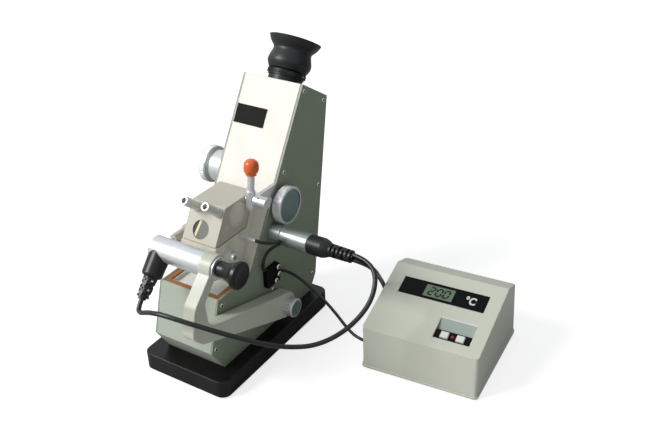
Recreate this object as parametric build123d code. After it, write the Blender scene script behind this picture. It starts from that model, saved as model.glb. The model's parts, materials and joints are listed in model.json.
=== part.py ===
from build123d import *
import os
from math import atan2, cos, degrees, pi, radians, sin, tan

# Bench refractometer with a sample-lamp arm and a digital thermometer beside it.
# Frame: origin at the centre of the base's underside, +X right, +Y back, +Z up, mm.

# ---------------------------------------------------------------- driving sizes
FOOT_H = 2.0            # rubber feet under the base
BASE_W, BASE_D, BASE_H = 95.0, 172.0, 17.0
BASE_CORNER = 9.0
BASE_TOP = FOOT_H + BASE_H

BODY_W = 65.5           # over both side covers
SKIN = 2.0              # sheet of the covers
LEAN = 32.5             # front panel, degrees from upright
SHELF_Z = 91.0          # rim of the lower housing
SHELF_BACK = -15.8      # where the front panel meets the rim's level
PANEL_LEN = 175.5       # along the slope
TOP_DEPTH = 45.6        # across the top, square to the panel
TOE_Y = -65.5           # where the housing meets the base
NOSE_Y, NOSE_Z = -80.3, 43.0
RIM_Y = -65.1
BACK_Y, BACK_Z = 85.5, 34.0
HEEL_Y = 75.0

PANEL_W, PANEL_T, PANEL_PROUD = 61.2, 3.0, 0.5
LABEL_X, LABEL_W, LABEL_H, LABEL_T = -13.0, 33.0, 17.8, 0.6
LABEL_TOP = 29.0        # from the panel's top edge

GASKET_W, GASKET_T = 4.6, 2.0
TRAY_T, TRAY_DEPTH = 1.0, 3.0
HOUSE_T = 2.0
SHELF_PLAY = 0.5        # housing and tray stop this far before the panel

# prism boxes, in their own tilted frame: v runs back along the joint, w stands on it
JOINT_Y, JOINT_Z = -45.5, 128.4
JOINT_TILT = 0.7        # degrees, falling to the back
JOINT_GAP = 1.0
BOX_W, BOX_L, BOX_H = 36.7, 43.4, 31.2
BOX_FRONT, BOX_BACK = 59.3, 64.4     # degrees from the joint
BOX_WALL = 5.0
BLOCK_LIP = 0.9
BLOCK_WALL = 13.0       # the block's rear wall stands this high over the joint
WINDOW_X, WINDOW_UP, WINDOW_D = -1.5, 12.5, 17.2
NIPPLE_X = (-11.0, 12.0)
NIPPLE_UP, NIPPLE_TILT = 31.2, 9.0   # up the face; degrees from square to it
NIPPLE_L, NIPPLE_D, NIPPLE_BORE = 22.0, 8.2, 5.0
SPOT_FACE = 0.6
DISC_V, DISC_W, DISC_R = 33.5, 18.6, 11.0
PLUG_V, PLUG_W = 17.5, 12.7          # slotted plug in the box's right side
PRISM_V = (8.0, 34.0)   # the prisms' front and back edges along the joint
PRISM_HALF, PRISM_DEEP = 12.5, 8.0
GLASS_GAP = 0.5

HINGE_X, HINGE_W, HINGE_R = -28.6, -2.2, 3.4
HINGE_V = (-0.8, 11.8, 12.1, 32.0, 32.3, 43.0)      # ends of the three knuckles
HINGE_RAIL, HINGE_LEAF = 3.7, 3.4    # thickness of the fixed rail and the moving leaf
PIN_R = 1.3
PIN_PLAY = 0.05

LOWER_NIPPLES = ((-32.0, 115.5, 6.8), (-18.0, 98.5, 4.6))    # y, z, size of the hexagon
PROBE_Y, PROBE_Z = -11.7, 124.4
PROBE_R, PROBE_TIP_R, PROBE_L, PROBE_IN = 2.7, 1.5, 13.5, 6.0

LOCK_X, LOCK_BACK, LOCK_DOWN = 24.6, 3.01, 1.86     # behind the box, under its top
LOCK_LEAN = 8.0
LOCK_HUB_R, LOCK_HUB_H = 4.2, 16.5
LOCK_ROD_R, LOCK_ROD_L = 3.2, 14.5
BALL_R, BALL_H, BALL_FOOT = 6.8, 14.4, 5.0
AXLE_R, AXLE_END = 2.5, 43.0
SLEEVE_R = 5.2

# eyepiece, along the slope of the panel
EYE_BACK = 20.0         # optical axis behind the panel
EYE_TUBE_R, EYE_TUBE_L, EYE_BORE_R = 16.2, 5.0, 11.0
DIOPTRE_R, DIOPTRE_H = 18.0, 5.6
CELL_R = 15.4
CELL_GAP = 0.6
CUP_R = (18.0, 20.7, 18.1, 24.6)     # foot, bulge, neck, rim
CUP_T = (11.0, 18.3, 29.8, 40.8)     # their heights over the top cover
CUP_WALL = 1.6

# knobs
KNOB_Y, KNOB_Z, KNOB_R, KNOB_T = 33.9, 139.7, 17.8, 9.2
KNOB_FACE, KNOB_BOSS = 44.0, 1.4
SHAFT_R = 3.0
RUN_FIT = 0.06          # radial play of every running shaft
DIAL_Y, DIAL_Z, DIAL_R = 47.2, 152.6, 18.0
DIAL_FACE = -58.5
CLAMP_R, CLAMP_T = 9.2, 10.5

# scale lamp on the right cover
SLAMP_Y, SLAMP_Z = 19.0, 116.3
SLAMP_COLLAR_R, SLAMP_COLLAR_L = 9.6, 12.5
SLAMP_R, SLAMP_END = 9.2, 74.0
PLUG_R, PLUG_L = 9.1, 21.0
BOOT_R, BOOT_L = 6.2, 24.0

# sample-lamp arm
ARM_GAP, ARM_T = 1.4, 12.0
PIVOT_Y, PIVOT_Z, PIVOT_R = 16.0, 41.5, 13.0
LAMP_Y, LAMP_Z, LAMP_R = -76.0, 135.5, 10.6
LAMP_LEFT = -21.0
ARM_TOP_R = 11.2
LAMP_BORE_R = 8.6
LPLUG_X, LPLUG_DROP = -13.5, 45.0
LPLUG_R, LPLUG_OUT, LBOOT_OUT = 9.4, 26.0, 46.0
LKNOB_NECK_R, LKNOB_R, LKNOB_L, LKNOB_DISH = 6.9, 12.0, 22.0, 3.0
WASHER_R, WASHER_T = 9.8, 1.7
ARM_POINTS = [(-84.5, 136.4), (-108.2, 113.4), (-115.4, 87.0), (-103.6, 75.0), (8.0, 30.6),
              (22.0, 53.0), (-90.5, 85.0), (-94.3, 93.0), (-95.8, 112.0), (-70.0, 138.0)]
ARM_ROUND = [2.0, 6.0, 9.0, 9.0, 4.0, 4.0, 4.0, 6.0, 5.0, 2.0]

# thermometer
TH_X, TH_Y, TH_TURN = 127.4, 17.0, 5.08
TH_W, TH_D = 110.0, 110.0
TH_FRONT, TH_RIDGE, TH_RIDGE_Y = 45.5, 68.3, 81.0
TH_REAR, TH_REAR_Y = 60.4, 102.0
TH_WALL, TH_FOOT, TH_PLATE, TH_LIP = 2.2, 1.5, 2.0, 1.0
WIN_X, WIN_W, WIN_Y, WIN_H = 14.2, 82.8, 49.6, 20.2
LCD_X, LCD_W, LCD_H = 37.4, 27.8, 13.8
REC_X, REC_W, REC_Y, REC_H, STRIP_H = 63.5, 34.0, 10.8, 23.2, 10.6
KEY_W, KEY_H, KEY_X = 7.4, 6.6, (9.4, 24.2)
GROMMET_Y, GROMMET_Z, GROMMET_R = 14.0, 18.0, 4.0

# cover screws and the cable clip
SCREW_R, SCREW_HEAD, SCREW_STEM = 2.6, 1.2, 1.15
SLOT_W, SLOT_DEEP = 0.8, 0.5
CLIP_Y, CLIP_Z, CLIP_W, CLIP_H, CLIP_T = 10.5, 75.0, 21.0, 20.0, 4.0
CLIP_CORD = ((-1.8, 86.4), (26.0, 71.8))            # y, z where the cord enters and leaves
CLIP_SCREWS = [(17.6, 80.8), (18.4, 72.8), (13.4, 68.0)]

# chassis and optics, up is along the eyepiece's axis from its top end
WEB_T, WEB_X = 3.0, 22.5
TUBE_R = 12.0
CELL_T, CELL_OUT, CELL_IN = 8.0, 13.0, 10.0
CELL_SPACE, JOURNAL = 10.0, 5.0
HUB_UP = -150.0
PINION_R, SECTOR_R, SCALE_R = 3.2, 39.0, 16.0
SECTOR_X, SECTOR_T, SECTOR_SPAN = 14.0, 2.0, 10.0
MIRROR_TURN = 120.0

# cords
CORD_D, PROBE_CORD_D = 4.2, 3.0
CORD_SPACE = 2.4        # both cords beside the relief's axis
SPLIT_Z = 116.0
LIES_Z = CORD_D / 2 + 0.1
COIL_X, COIL_Y, COIL_R = 172.0, 165.6, 29.5
COIL_HALVES, COIL_TOP, COIL_PITCH, COIL_RISE = 7, 5, 4.9, 4.75   # half turns below and on top
PLUG_X, PLUG_Y, SPLUG_R = 124.0, 151.0, 4.6         # the supply plug lies on the bench

# ---------------------------------------------------------------- worked-out places
HALF = BODY_W / 2
INNER = HALF - SKIN
SL, CL = sin(radians(LEAN)), cos(radians(LEAN))
SJ, CJ = sin(radians(JOINT_TILT)), cos(radians(JOINT_TILT))
TOP_F = (SHELF_BACK + PANEL_LEN * SL, SHELF_Z + PANEL_LEN * CL)
TOP_B = (TOP_F[0] + TOP_DEPTH * CL, TOP_F[1] - TOP_DEPTH * SL)
OUTLINE = [(TOE_Y, BASE_TOP), (NOSE_Y, NOSE_Z), (RIM_Y, SHELF_Z), (SHELF_BACK, SHELF_Z),
           TOP_F, TOP_B, (BACK_Y, BACK_Z), (HEEL_Y, BASE_TOP)]
ARM_IN = HALF + ARM_GAP
ARM_OUT = ARM_IN + ARM_T
BLOCK_HALF = BOX_W / 2 + BLOCK_LIP
PROBE_END = BLOCK_HALF + PROBE_L + 4.0
CLIP_FACE = HALF + CLIP_T
CLIP_PATH = [(HALF + 1.8, y, z) for y, z in CLIP_CORD]
CORD_END = SLAMP_END + PLUG_L + BOOT_L

os.makedirs("parts", exist_ok=True)


LOW = (Align.CENTER, Align.CENTER, Align.MIN)


# ---------------------------------------------------------------- helpers
def side(points, x0, x1):
    """A plate with this outline in Y and Z, from x0 to x1."""
    face = make_face(Polyline(*points, close=True))
    return extrude(Plane.YZ.offset(x0) * face, x1 - x0)


def along_x(y, z, r, x0, x1):
    return Plane.YZ.offset(x0) * Pos(y, z) * Cylinder(r, x1 - x0, align=LOW)


def turned(points):
    """A solid turned about Z from (radius, height) points."""
    return revolve(Plane.XZ * make_face(Polyline(*points, close=True)), Axis.Z)


def tube(r_out, r_in, length):
    return Cylinder(r_out, length, align=LOW) - Cylinder(r_in, length, align=LOW)


def slot(x, y, z, length, turn=35):
    """A screwdriver slot in a head whose outer face is at x."""
    return Plane.YZ.offset(x) * Pos(y, z) * Rot(Z=turn) * Box(length, SLOT_W, 2 * SLOT_DEEP)


def save(name, *solids):
    """Write one node. Each argument stays a solid of its own."""
    flat = [s for part in solids for s in part.solids()]
    shape = flat[0] if len(flat) == 1 else Compound(children=flat)
    export_step(shape, f"parts/{name}.step")


def slope(back, up):
    """Point in Y, Z: so far behind the panel and up along it from its top edge."""
    return (TOP_F[0] + back * CL + up * SL, TOP_F[1] - back * SL + up * CL)


def joint(v, w):
    """Point in Y, Z of the prism joint's frame."""
    return (JOINT_Y + v * CJ + w * SJ, JOINT_Z - v * SJ + w * CJ)


LOCK_Y, LOCK_Z = joint(BOX_L + LOCK_BACK, BOX_H - LOCK_DOWN)

PANEL = Plane(origin=(0, *TOP_F), x_dir=(1, 0, 0), z_dir=(0, -CL, SL))
EYE = Plane(origin=(0, *slope(EYE_BACK, 0)), x_dir=(1, 0, 0), z_dir=(0, SL, CL))
JOINT = Plane(origin=(0, JOINT_Y, JOINT_Z), x_dir=(1, 0, 0), z_dir=(0, SJ, CJ))
THERMO = Plane(origin=(TH_X, TH_Y, 0), x_dir=(cos(radians(TH_TURN)), sin(radians(TH_TURN)), 0),
               z_dir=(0, 0, 1))


# ---------------------------------------------------------------- base
def make_base():
    plate = Pos(0, 0, FOOT_H) * extrude(RectangleRounded(BASE_W, BASE_D, BASE_CORNER), BASE_H)
    save("base_plate", fillet(plate.edges().group_by(Axis.Z)[-1], 1.2))


def make_feet():
    inset = 14.0
    feet = [Cylinder(12, FOOT_H, align=LOW)]
    for x in (-1, 1):
        for y in (-1, 1):
            spot = Pos(x * (BASE_W / 2 - inset), y * (BASE_D / 2 - inset))
            feet.append(spot * Cylinder(7, FOOT_H, align=LOW))
            here = THERMO * Pos(TH_W / 2 + x * (TH_W / 2 - inset), TH_D / 2 + y * (TH_D / 2 - inset))
            feet.append(here * Cylinder(5, TH_FOOT, align=LOW))
    save("rubber_feet", *feet)


# ---------------------------------------------------------------- casing
SCREWS = [slope(5.6, -5.3), slope(TOP_DEPTH - 3.6, -5.5), slope(8.5, -80.2),
          (97.5, 128.9), (80.6, 36.0), (-60.4, 83.1), (-74.1, 44.5), (14.2, 55.8)]


def make_covers():
    right = side(OUTLINE, INNER, HALF)
    for y, z in SCREWS:
        right -= along_x(y, z, SCREW_R + 0.1, HALF - SCREW_HEAD, HALF + 1)
        right -= along_x(y, z, SCREW_STEM + 0.05, INNER - 1, HALF)
    for y, z, r in ((KNOB_Y, KNOB_Z, SHAFT_R + 1.5), (SLAMP_Y, SLAMP_Z, SLAMP_R - 2),
                    (PIVOT_Y, PIVOT_Z, SHAFT_R + 1.5)):
        right -= along_x(y, z, r, INNER - 1, HALF + 1)
    for y, z in CLIP_SCREWS:
        right -= along_x(y, z, SCREW_STEM + 0.05, INNER - 1, HALF + 1)
    left = side(OUTLINE, -HALF, -INNER)
    for y, z in SCREWS:
        left -= along_x(y, z, SCREW_R + 0.1, -HALF - 1, SCREW_HEAD - HALF)
        left -= along_x(y, z, SCREW_STEM + 0.05, -HALF, 1 - INNER)
    left -= along_x(DIAL_Y, DIAL_Z, SHAFT_R + 1.5, -HALF - 1, 1 - INNER)
    save("right_cover", right)
    save("left_cover", left)


def make_rear_cover():
    front = PANEL_T - PANEL_PROUD + 0.1
    inner_f, inner_b = slope(front, -SKIN), slope(TOP_DEPTH - SKIN, -SKIN)
    low = (BACK_Y - SKIN, BACK_Z + 0.6)
    heel = (HEEL_Y - 2.4, BASE_TOP)
    top_f = slope(front, 0)
    sheet = side([top_f, TOP_B, (BACK_Y, BACK_Z), (HEEL_Y, BASE_TOP), heel, low, inner_b, inner_f],
                 -INNER, INNER)
    sheet -= EYE * Pos(0, 0, -SKIN - 1) * Cylinder(EYE_TUBE_R - 1.4, SKIN + 2, align=LOW)
    save("rear_cover", sheet)


def make_panel():
    length = PANEL_LEN - 0.5
    plate = PANEL * Pos(0, -length / 2, PANEL_PROUD - PANEL_T / 2) * Box(PANEL_W, length, PANEL_T)
    edges = plate.edges().filter_by(GeomType.LINE)
    front = [e for e in edges if (PANEL.to_local_coords(e @ 0.5)).Z > PANEL_PROUD - 0.01]
    plate = fillet(front, 0.6)
    plate -= JOINT * Pos(0, BOX_L + 20, -14) * Rot(X=90) * Cylinder(11, 40)
    label = PANEL * Pos(LABEL_X, -LABEL_TOP - LABEL_H / 2, PANEL_PROUD + LABEL_T / 2)
    save("front_panel", plate)
    save("name_plate", label * Box(LABEL_W, LABEL_H, LABEL_T))


def make_housing():
    back = SHELF_BACK - SHELF_PLAY
    floor_z = SHELF_Z - GASKET_T - TRAY_T
    outer = side([(TOE_Y, BASE_TOP), (NOSE_Y, NOSE_Z), (RIM_Y, SHELF_Z), (back, SHELF_Z),
                  (back, BASE_TOP)], -INNER, INNER)
    t = HOUSE_T
    lip = 3.0
    hollow = side([(TOE_Y + t + 1, BASE_TOP + t), (NOSE_Y + t + 1, NOSE_Z), (RIM_Y + t, floor_z - lip),
                   (back + 1, floor_z - lip), (back + 1, BASE_TOP + t)], t - INNER, INNER - t)
    seat = side([(RIM_Y + t - 1.0, floor_z), (RIM_Y + t, SHELF_Z + 1), (back + 1, SHELF_Z + 1),
                 (back + 1, floor_z)], -INNER - 1, INNER + 1)
    well_l = back - RIM_Y - t - GASKET_W
    well = Pos(0, back - well_l / 2 + 0.5, floor_z) * Box(2 * (INNER - GASKET_W) - 1, well_l, 3 * lip)
    for y, z in SCREWS:
        well += along_x(y, z, SCREW_STEM, -INNER - 1, INNER + 1)
    save("lower_housing", outer - hollow - seat - well)


def make_tray():
    back = SHELF_BACK - SHELF_PLAY
    front = RIM_Y + HOUSE_T + 0.4
    z = SHELF_Z - GASKET_T - TRAY_T
    mid, length = (front + back) / 2, back - front
    wide = 2 * INNER - 0.4
    flange = Pos(0, mid, z) * Box(wide, length, TRAY_T, align=LOW)
    pan_w, pan_l = 2 * (INNER - GASKET_W) - 2, length - GASKET_W - 1
    pan_y = back - pan_l / 2
    pan = Pos(0, pan_y, z - TRAY_DEPTH) * Box(pan_w, pan_l, TRAY_DEPTH + TRAY_T, align=LOW)
    dip = Pos(0, pan_y, z - TRAY_DEPTH + TRAY_T) * Box(pan_w - 2, pan_l - 2, 9, align=LOW)
    upright = Pos(0, back - TRAY_T / 2, z) * Box(wide, TRAY_T, GASKET_T + TRAY_T + 0.2, align=LOW)
    save("drip_tray", flange + pan - dip + upright)
    ring = Pos(0, mid, z + TRAY_T) * Box(wide, length, GASKET_T - 0.5, align=LOW)
    ring -= Pos(0, mid + GASKET_W, z) * Box(wide - 2 * GASKET_W, length, 9, align=LOW)
    ring -= Pos(0, back, z) * Box(wide + 1, 2 * TRAY_T + 0.2, 9, align=LOW)
    save("tray_gasket", ring)


def make_screws():
    heads = []
    for y, z in SCREWS:
        for s in (1, -1):
            screw = along_x(y, z, SCREW_R, HALF - SCREW_HEAD, HALF) - slot(HALF, y, z, 1.6 * SCREW_R)
            screw += along_x(y, z, SCREW_STEM, INNER - 1.0, HALF - SCREW_HEAD)
            heads.append(screw if s > 0 else mirror(screw, Plane.YZ))
    for y, z in CLIP_SCREWS:
        head = along_x(y, z, 2.4, CLIP_FACE, CLIP_FACE + 1.6)
        head -= slot(CLIP_FACE + 1.6, y, z, 3.8)
        heads.append(head + along_x(y, z, SCREW_STEM, HALF - 1, CLIP_FACE))
    save("cover_screws", *heads)


def make_clip():
    outline = RectangleRounded(CLIP_W, CLIP_H, 3)
    block = Plane.YZ.offset(HALF) * Pos(CLIP_Y, CLIP_Z) * extrude(outline, CLIP_T)
    for y, z in CLIP_SCREWS:
        block -= along_x(y, z, SCREW_STEM + 0.05, HALF - 1, CLIP_FACE + 1)
    a, b = CLIP_PATH
    reach = Vector(*b) - Vector(*a)
    groove = Plane(origin=a, z_dir=reach) * Cylinder(PROBE_CORD_D / 2 + 0.1, reach.length, align=LOW)
    save("cable_clip", block - groove)


# ---------------------------------------------------------------- chassis and optics
SHAFT_UP = -(slope(0, 0)[0] - DIAL_Y) * SL - (slope(0, 0)[1] - DIAL_Z) * CL
TUBE_IN = CELL_IN + RUN_FIT
TUBE_TOP = -SKIN - 0.5
TUBE_END = SHAFT_UP + CELL_SPACE / 2 + CELL_T + 0.3
HUB_Y, HUB_Z = slope(EYE_BACK, HUB_UP)


def web(x):
    points = [(SHELF_BACK + 6, BASE_TOP + 4), slope(5.5, HUB_UP - 20), slope(5.5, -40), slope(34, -40),
              slope(34, -105), slope(50, HUB_UP + 10), (60, BASE_TOP + 4)]
    return side(points, x, x + WEB_T)


def make_chassis():
    floor = Pos(0, 28, BASE_TOP) * Box(56, 74, 4, align=LOW)
    frame = floor + web(-WEB_X - WEB_T) + web(WEB_X)
    for up in (-45.0, TUBE_END + 3):
        frame += EYE * Pos(0, 6, up) * Box(2 * WEB_X + 1, 22, 6, align=LOW)
    lower = SHAFT_UP - CELL_SPACE / 2 - CELL_T - 0.3 - JOURNAL
    frame += EYE * Pos(0, 6, lower) * Box(2 * WEB_X + 1, 22, JOURNAL - 0.5, align=LOW)
    frame -= EYE * Pos(0, 0, TUBE_END - 1) * Cylinder(TUBE_R, 200, align=LOW)
    frame -= EYE * Pos(0, 0, lower - 1) * Cylinder(CELL_IN + RUN_FIT, 8, align=LOW)
    outer = WEB_X + WEB_T
    frame += along_x(KNOB_Y, KNOB_Z, 2 * SHAFT_R, outer - 1, INNER - 0.3)
    frame += along_x(DIAL_Y, DIAL_Z, 2 * SHAFT_R, 0.3 - INNER, 1 - outer)
    frame -= along_x(KNOB_Y, KNOB_Z, 5.5, 12, WEB_X)
    frame -= along_x(KNOB_Y, KNOB_Z, SHAFT_R + RUN_FIT, WEB_X - 1, INNER)
    frame -= along_x(DIAL_Y, DIAL_Z, SHAFT_R + RUN_FIT, -INNER, 1 - WEB_X)
    frame -= along_x(HUB_Y, HUB_Z, SHAFT_R + RUN_FIT, -outer - 1, outer + 1)
    frame -= along_x(PIVOT_Y, PIVOT_Z, SHAFT_R + RUN_FIT, WEB_X - 1, outer + 1)
    frame -= along_x(SLAMP_Y, SLAMP_Z, 6.0, WEB_X - 1, outer + 1)
    save("chassis", frame)


def make_telescope():
    length = TUBE_TOP - TUBE_END
    barrel = EYE * Pos(0, 0, TUBE_END) * tube(TUBE_R, TUBE_IN, length)
    up = TUBE_END + JOURNAL + 2
    objective = EYE * Pos(0, 0, up) * Cylinder(TUBE_IN, 4, align=LOW)
    reticle = EYE * Pos(0, 0, TUBE_TOP - 12) * Cylinder(TUBE_IN, 1.5, align=LOW)
    save("telescope_tube", barrel, objective, reticle)


def make_cells():
    """Two rings with a prism each, crown faces towards the shaft between them."""
    for name, s in (("upper_cell", 1), ("lower_cell", -1)):
        ring = Pos(0, 0, CELL_SPACE / 2) * tube(CELL_OUT, CELL_IN - 1.6, CELL_T)
        ring += Pos(0, 0, CELL_SPACE / 2 + CELL_T) * tube(CELL_IN, CELL_IN - 1.6, JOURNAL)
        for k in range(24):
            tooth = Rot(Z=15 * k) * Pos(CELL_OUT - 1.2, 0, CELL_SPACE / 2) * Box(2.6, 1.2, 1.4)
            ring -= tooth
        wide = (CELL_IN - 1.6) * 1.3
        glass = Pos(0, 0, CELL_SPACE / 2 + 0.6) * Box(wide, wide, CELL_T + JOURNAL - 1.6, align=LOW)
        glass = glass & Cylinder(CELL_IN - 1.6, 60)
        pair = (ring, glass) if s > 0 else (mirror(ring, Plane.XY), mirror(glass, Plane.XY))
        save(name, *[EYE * Pos(0, 0, SHAFT_UP) * piece for piece in pair])


# ---------------------------------------------------------------- eyepiece
def make_eyepiece():
    base = tube(EYE_TUBE_R, EYE_BORE_R, EYE_TUBE_L)
    spigot = Pos(0, 0, -SKIN - 6) * tube(EYE_TUBE_R - 1.5, EYE_BORE_R, SKIN + 6.5)
    neck_r = CELL_R - 3.0
    neck = Pos(0, 0, EYE_TUBE_L - 1) * tube(neck_r, EYE_BORE_R, DIOPTRE_H + 1.4)
    spigot -= Pos(0, 0, -SKIN - 7) * Cylinder(TUBE_R, 7, align=LOW)
    save("eyepiece_tube", EYE * (base + spigot + neck))
    # dioptre ring turns on the neck
    ring = Pos(0, 0, EYE_TUBE_L + 0.2) * tube(DIOPTRE_R, neck_r + RUN_FIT, DIOPTRE_H - 0.4)
    step = Pos(0, 0, EYE_TUBE_L + 0.2) * tube(DIOPTRE_R + 1, DIOPTRE_R - 0.9, 1.7)
    for k in range(36):
        ring -= Rot(Z=10 * k) * Pos(DIOPTRE_R, 0, EYE_TUBE_L + DIOPTRE_H - 2) * Box(0.7, 0.9, 3)
    save("dioptre_ring", EYE * (ring - step))
    # the cell slides in the neck's bore and carries lens and cup
    low, high = 2.0, CUP_T[2] - 1.5
    seat = CUP_T[0] + CELL_GAP
    shell = Pos(0, 0, low) * tube(EYE_BORE_R - RUN_FIT, EYE_BORE_R - 1.6, seat + 1 - low)
    head = Pos(0, 0, seat) * tube(CELL_R, EYE_BORE_R - 1.6, high - seat)
    save("eye_lens_cell", EYE * (shell + head))
    lens = Pos(0, 0, high - 6) * Cylinder(EYE_BORE_R - 1.6, 5, align=LOW)
    lens = fillet(lens.edges().group_by(Axis.Z)[-1], 2.0)
    save("eye_lens", EYE * lens)
    foot, bulge, neck_c, rim = CUP_R
    t0, t1, t2, t3 = CUP_T
    w = CUP_WALL
    throat = neck_c - w
    path = [Spline((foot, seat), (bulge, t1), (neck_c, t2), (rim, t3), tangents=((0.5, 1), (0.35, 1))),
            Line((rim, t3), (rim - w, t3 + 0.3)),
            Spline((rim - w, t3 + 0.3), (throat, t2 + 0.6), (CELL_R, high),
                   tangents=((-0.35, -1), (-0.6, -1))),
            Line((CELL_R, high), (CELL_R, seat)), Line((CELL_R, seat), (foot, seat))]
    cup = revolve(Plane.XZ * make_face(Curve() + path), Axis.Z)
    save("eyecup", EYE * cup)


# ---------------------------------------------------------------- prism boxes
def box_outline(rise=JOINT_GAP / 2):
    k1, k2 = 1 / tan(radians(BOX_FRONT)), 1 / tan(radians(BOX_BACK))
    return [(rise * k1, rise), (BOX_H * k1, BOX_H), (BOX_L + BOX_H * k2, BOX_H),
            (BOX_L + rise * k2, rise)]


FACE_UP = radians(BOX_FRONT - JOINT_TILT)
FACE = Plane(origin=(0, JOINT_Y, JOINT_Z), x_dir=(1, 0, 0), z_dir=(0, -sin(FACE_UP), cos(FACE_UP)))
NIPPLES = [FACE * Pos(x, NIPPLE_UP, 0) * Rot(X=-NIPPLE_TILT) * Pos(0, 0, -SPOT_FACE) for x in NIPPLE_X]


def in_joint(points, x0, x1):
    return side([joint(v, w) for v, w in points], x0, x1)


def make_upper_box():
    half = BOX_W / 2
    box = in_joint(box_outline(), -half, half)
    box = chamfer(box.edges().filter_by(Axis.X), 0.5)
    t = BOX_WALL
    k1, k2 = 1 / tan(radians(BOX_FRONT)), 1 / tan(radians(BOX_BACK))
    top = BOX_H - t
    room = in_joint([(t * 1.3, -1), (t * 1.3 + top * k1, top), (BOX_L - t + top * k2, top),
                     (BOX_L - t, -1)], t - half, half - t)
    box -= room
    window = FACE * Pos(WINDOW_X, WINDOW_UP, 0)
    box -= window * Cylinder(WINDOW_D / 2, 20)
    for place in NIPPLES:
        box -= place * Cylinder(NIPPLE_D / 2 + NIPPLE_RIM, 5, align=LOW)
        box -= place * Cylinder(NIPPLE_BORE / 2, 20)
    box += knuckles(True)
    save("upper_prism_box", box)
    save("window_glass", window * Pos(0, 0, -2.6) * Cylinder(WINDOW_D / 2 - 0.05, 1.6, align=LOW))
    g = GLASS_GAP / 2
    prism = in_joint([(PRISM_V[0], g), (BOX_L - t - 1.5, g), (BOX_L - t + 4, 14)], -PRISM_HALF, PRISM_HALF)
    save("illuminating_prism", prism)
    y, z = joint(DISC_V, DISC_W)
    proud = half + 0.5
    plate = along_x(y, z, DISC_R, half, proud) - along_x(y, z, DISC_R - 1.8, half + 0.2, half + 9)
    plate += along_x(y, z, DISC_R - 3.0, half, proud)
    sy, sz = joint(PLUG_V, PLUG_W)
    plug = along_x(sy, sz, 2.4, half, proud) - slot(proud, sy, sz, 3.8)
    save("box_side_plate", plate, plug)
    save("upper_hose_nipples", *[place * nipple() for place in NIPPLES])


NIPPLE_RIM = 0.6


def nipple():
    r, rim, bore, end = NIPPLE_D / 2, NIPPLE_D / 2 + NIPPLE_RIM, NIPPLE_BORE / 2, NIPPLE_L
    return turned([(bore, 0), (rim, 0), (rim, 1.6), (r, 2.2), (r, end - 0.5), (r - 0.5, end), (bore, end)])


def hinge_end(v):
    """Plane square to the hinge pin, with its origin on the pin at this v."""
    return Plane(origin=(HINGE_X, *joint(v, HINGE_W)), x_dir=(1, 0, 0), z_dir=(0, CJ, -SJ))


def knuckle(v0, v1, leaf, bore_r):
    """One hinge barrel with its leaf; the leaf is (x0, x1, low, high)."""
    x0, x1, low, high = leaf
    plate = in_joint([(v0, low), (v1, low), (v1, high), (v0, high)], x0, x1)
    barrel = hinge_end(v0) * Cylinder(HINGE_R, v1 - v0, align=LOW)
    return barrel + plate - hinge_end(v0 - 1) * Cylinder(bore_r, v1 - v0 + 2, align=LOW)


RAIL_TOP = HINGE_W - HINGE_R - 0.3


def knuckles(moving):
    """Three barrels left of the joint: the middle one is the box's, the others stand on the rail."""
    v = HINGE_V
    if moving:
        leaf = (HINGE_X, 0.5 - BOX_W / 2, JOINT_GAP / 2, JOINT_GAP / 2 + HINGE_LEAF)
        return knuckle(v[2], v[3], leaf, PIN_R + PIN_PLAY)
    leaf = (HINGE_X - HINGE_R, HINGE_X + HINGE_R, RAIL_TOP - 1, HINGE_W)
    return knuckle(v[0], v[1], leaf, PIN_R) + knuckle(v[4], v[5], leaf, PIN_R)


def make_hinge():
    v0, v1 = HINGE_V[0], HINGE_V[-1]
    low = RAIL_TOP - HINGE_RAIL
    rail = in_joint([(v0, low), (v1, low), (v1, RAIL_TOP), (v0, RAIL_TOP)], HINGE_X - HINGE_R, -BLOCK_HALF)
    save("hinge_base", rail + knuckles(False))
    save("hinge_pin", hinge_end(v0 - 0.5) * Cylinder(PIN_R, v1 - v0 + 1, align=LOW))


def make_block():
    lip, g = BLOCK_LIP, JOINT_GAP / 2
    k2 = 1 / tan(radians(BOX_BACK))
    bottom = SHELF_Z - GASKET_T - TRAY_DEPTH
    rear_gap = BOX_L + g * k2 + 1.0
    foot_front = JOINT_Y + 12
    outline = [joint(-lip, -g), joint(rear_gap, -g), joint(rear_gap + (BLOCK_WALL + g) * k2, BLOCK_WALL),
               behind(BLOCK_WALL), (SHELF_BACK - 0.9, SHELF_Z + 1.0), (SHELF_BACK - 5.5, bottom),
               (foot_front, bottom), (foot_front - 9.5, bottom + 16)]
    block = side(outline, -BLOCK_HALF, BLOCK_HALF)
    block -= prism_slab(g)
    for y, z, r in LOWER_NIPPLES:
        block -= along_x(y, z, NIPPLE_BORE / 2, BLOCK_HALF - 8, BLOCK_HALF + 1)
    block -= along_x(PROBE_Y, PROBE_Z, PROBE_TIP_R, BLOCK_HALF - PROBE_IN, BLOCK_HALF + 1)
    eye_y, eye_z = joint(sum(PRISM_V) / 2, -5)
    sight = Plane(origin=(0, eye_y, eye_z), z_dir=(0, HUB_Y - eye_y, HUB_Z - eye_z))
    block -= sight * Pos(0, 0, PRISM_DEEP) * Cylinder(7, 40, align=LOW)
    save("main_prism_block", block)
    save("main_prism", prism_slab(-GLASS_GAP / 2))


def prism_slab(top):
    """The measuring prism's room in the block, up to this height over the joint."""
    v0, v1 = PRISM_V
    return in_joint([(v0, -PRISM_DEEP), (v1, -PRISM_DEEP), (v1, top), (v0, top)], -PRISM_HALF, PRISM_HALF)


def behind(w):
    """Where the level w of the rear wall meets the panel's face."""
    y, z = joint(BOX_L, w)
    return (y_panel(z), z)


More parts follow.
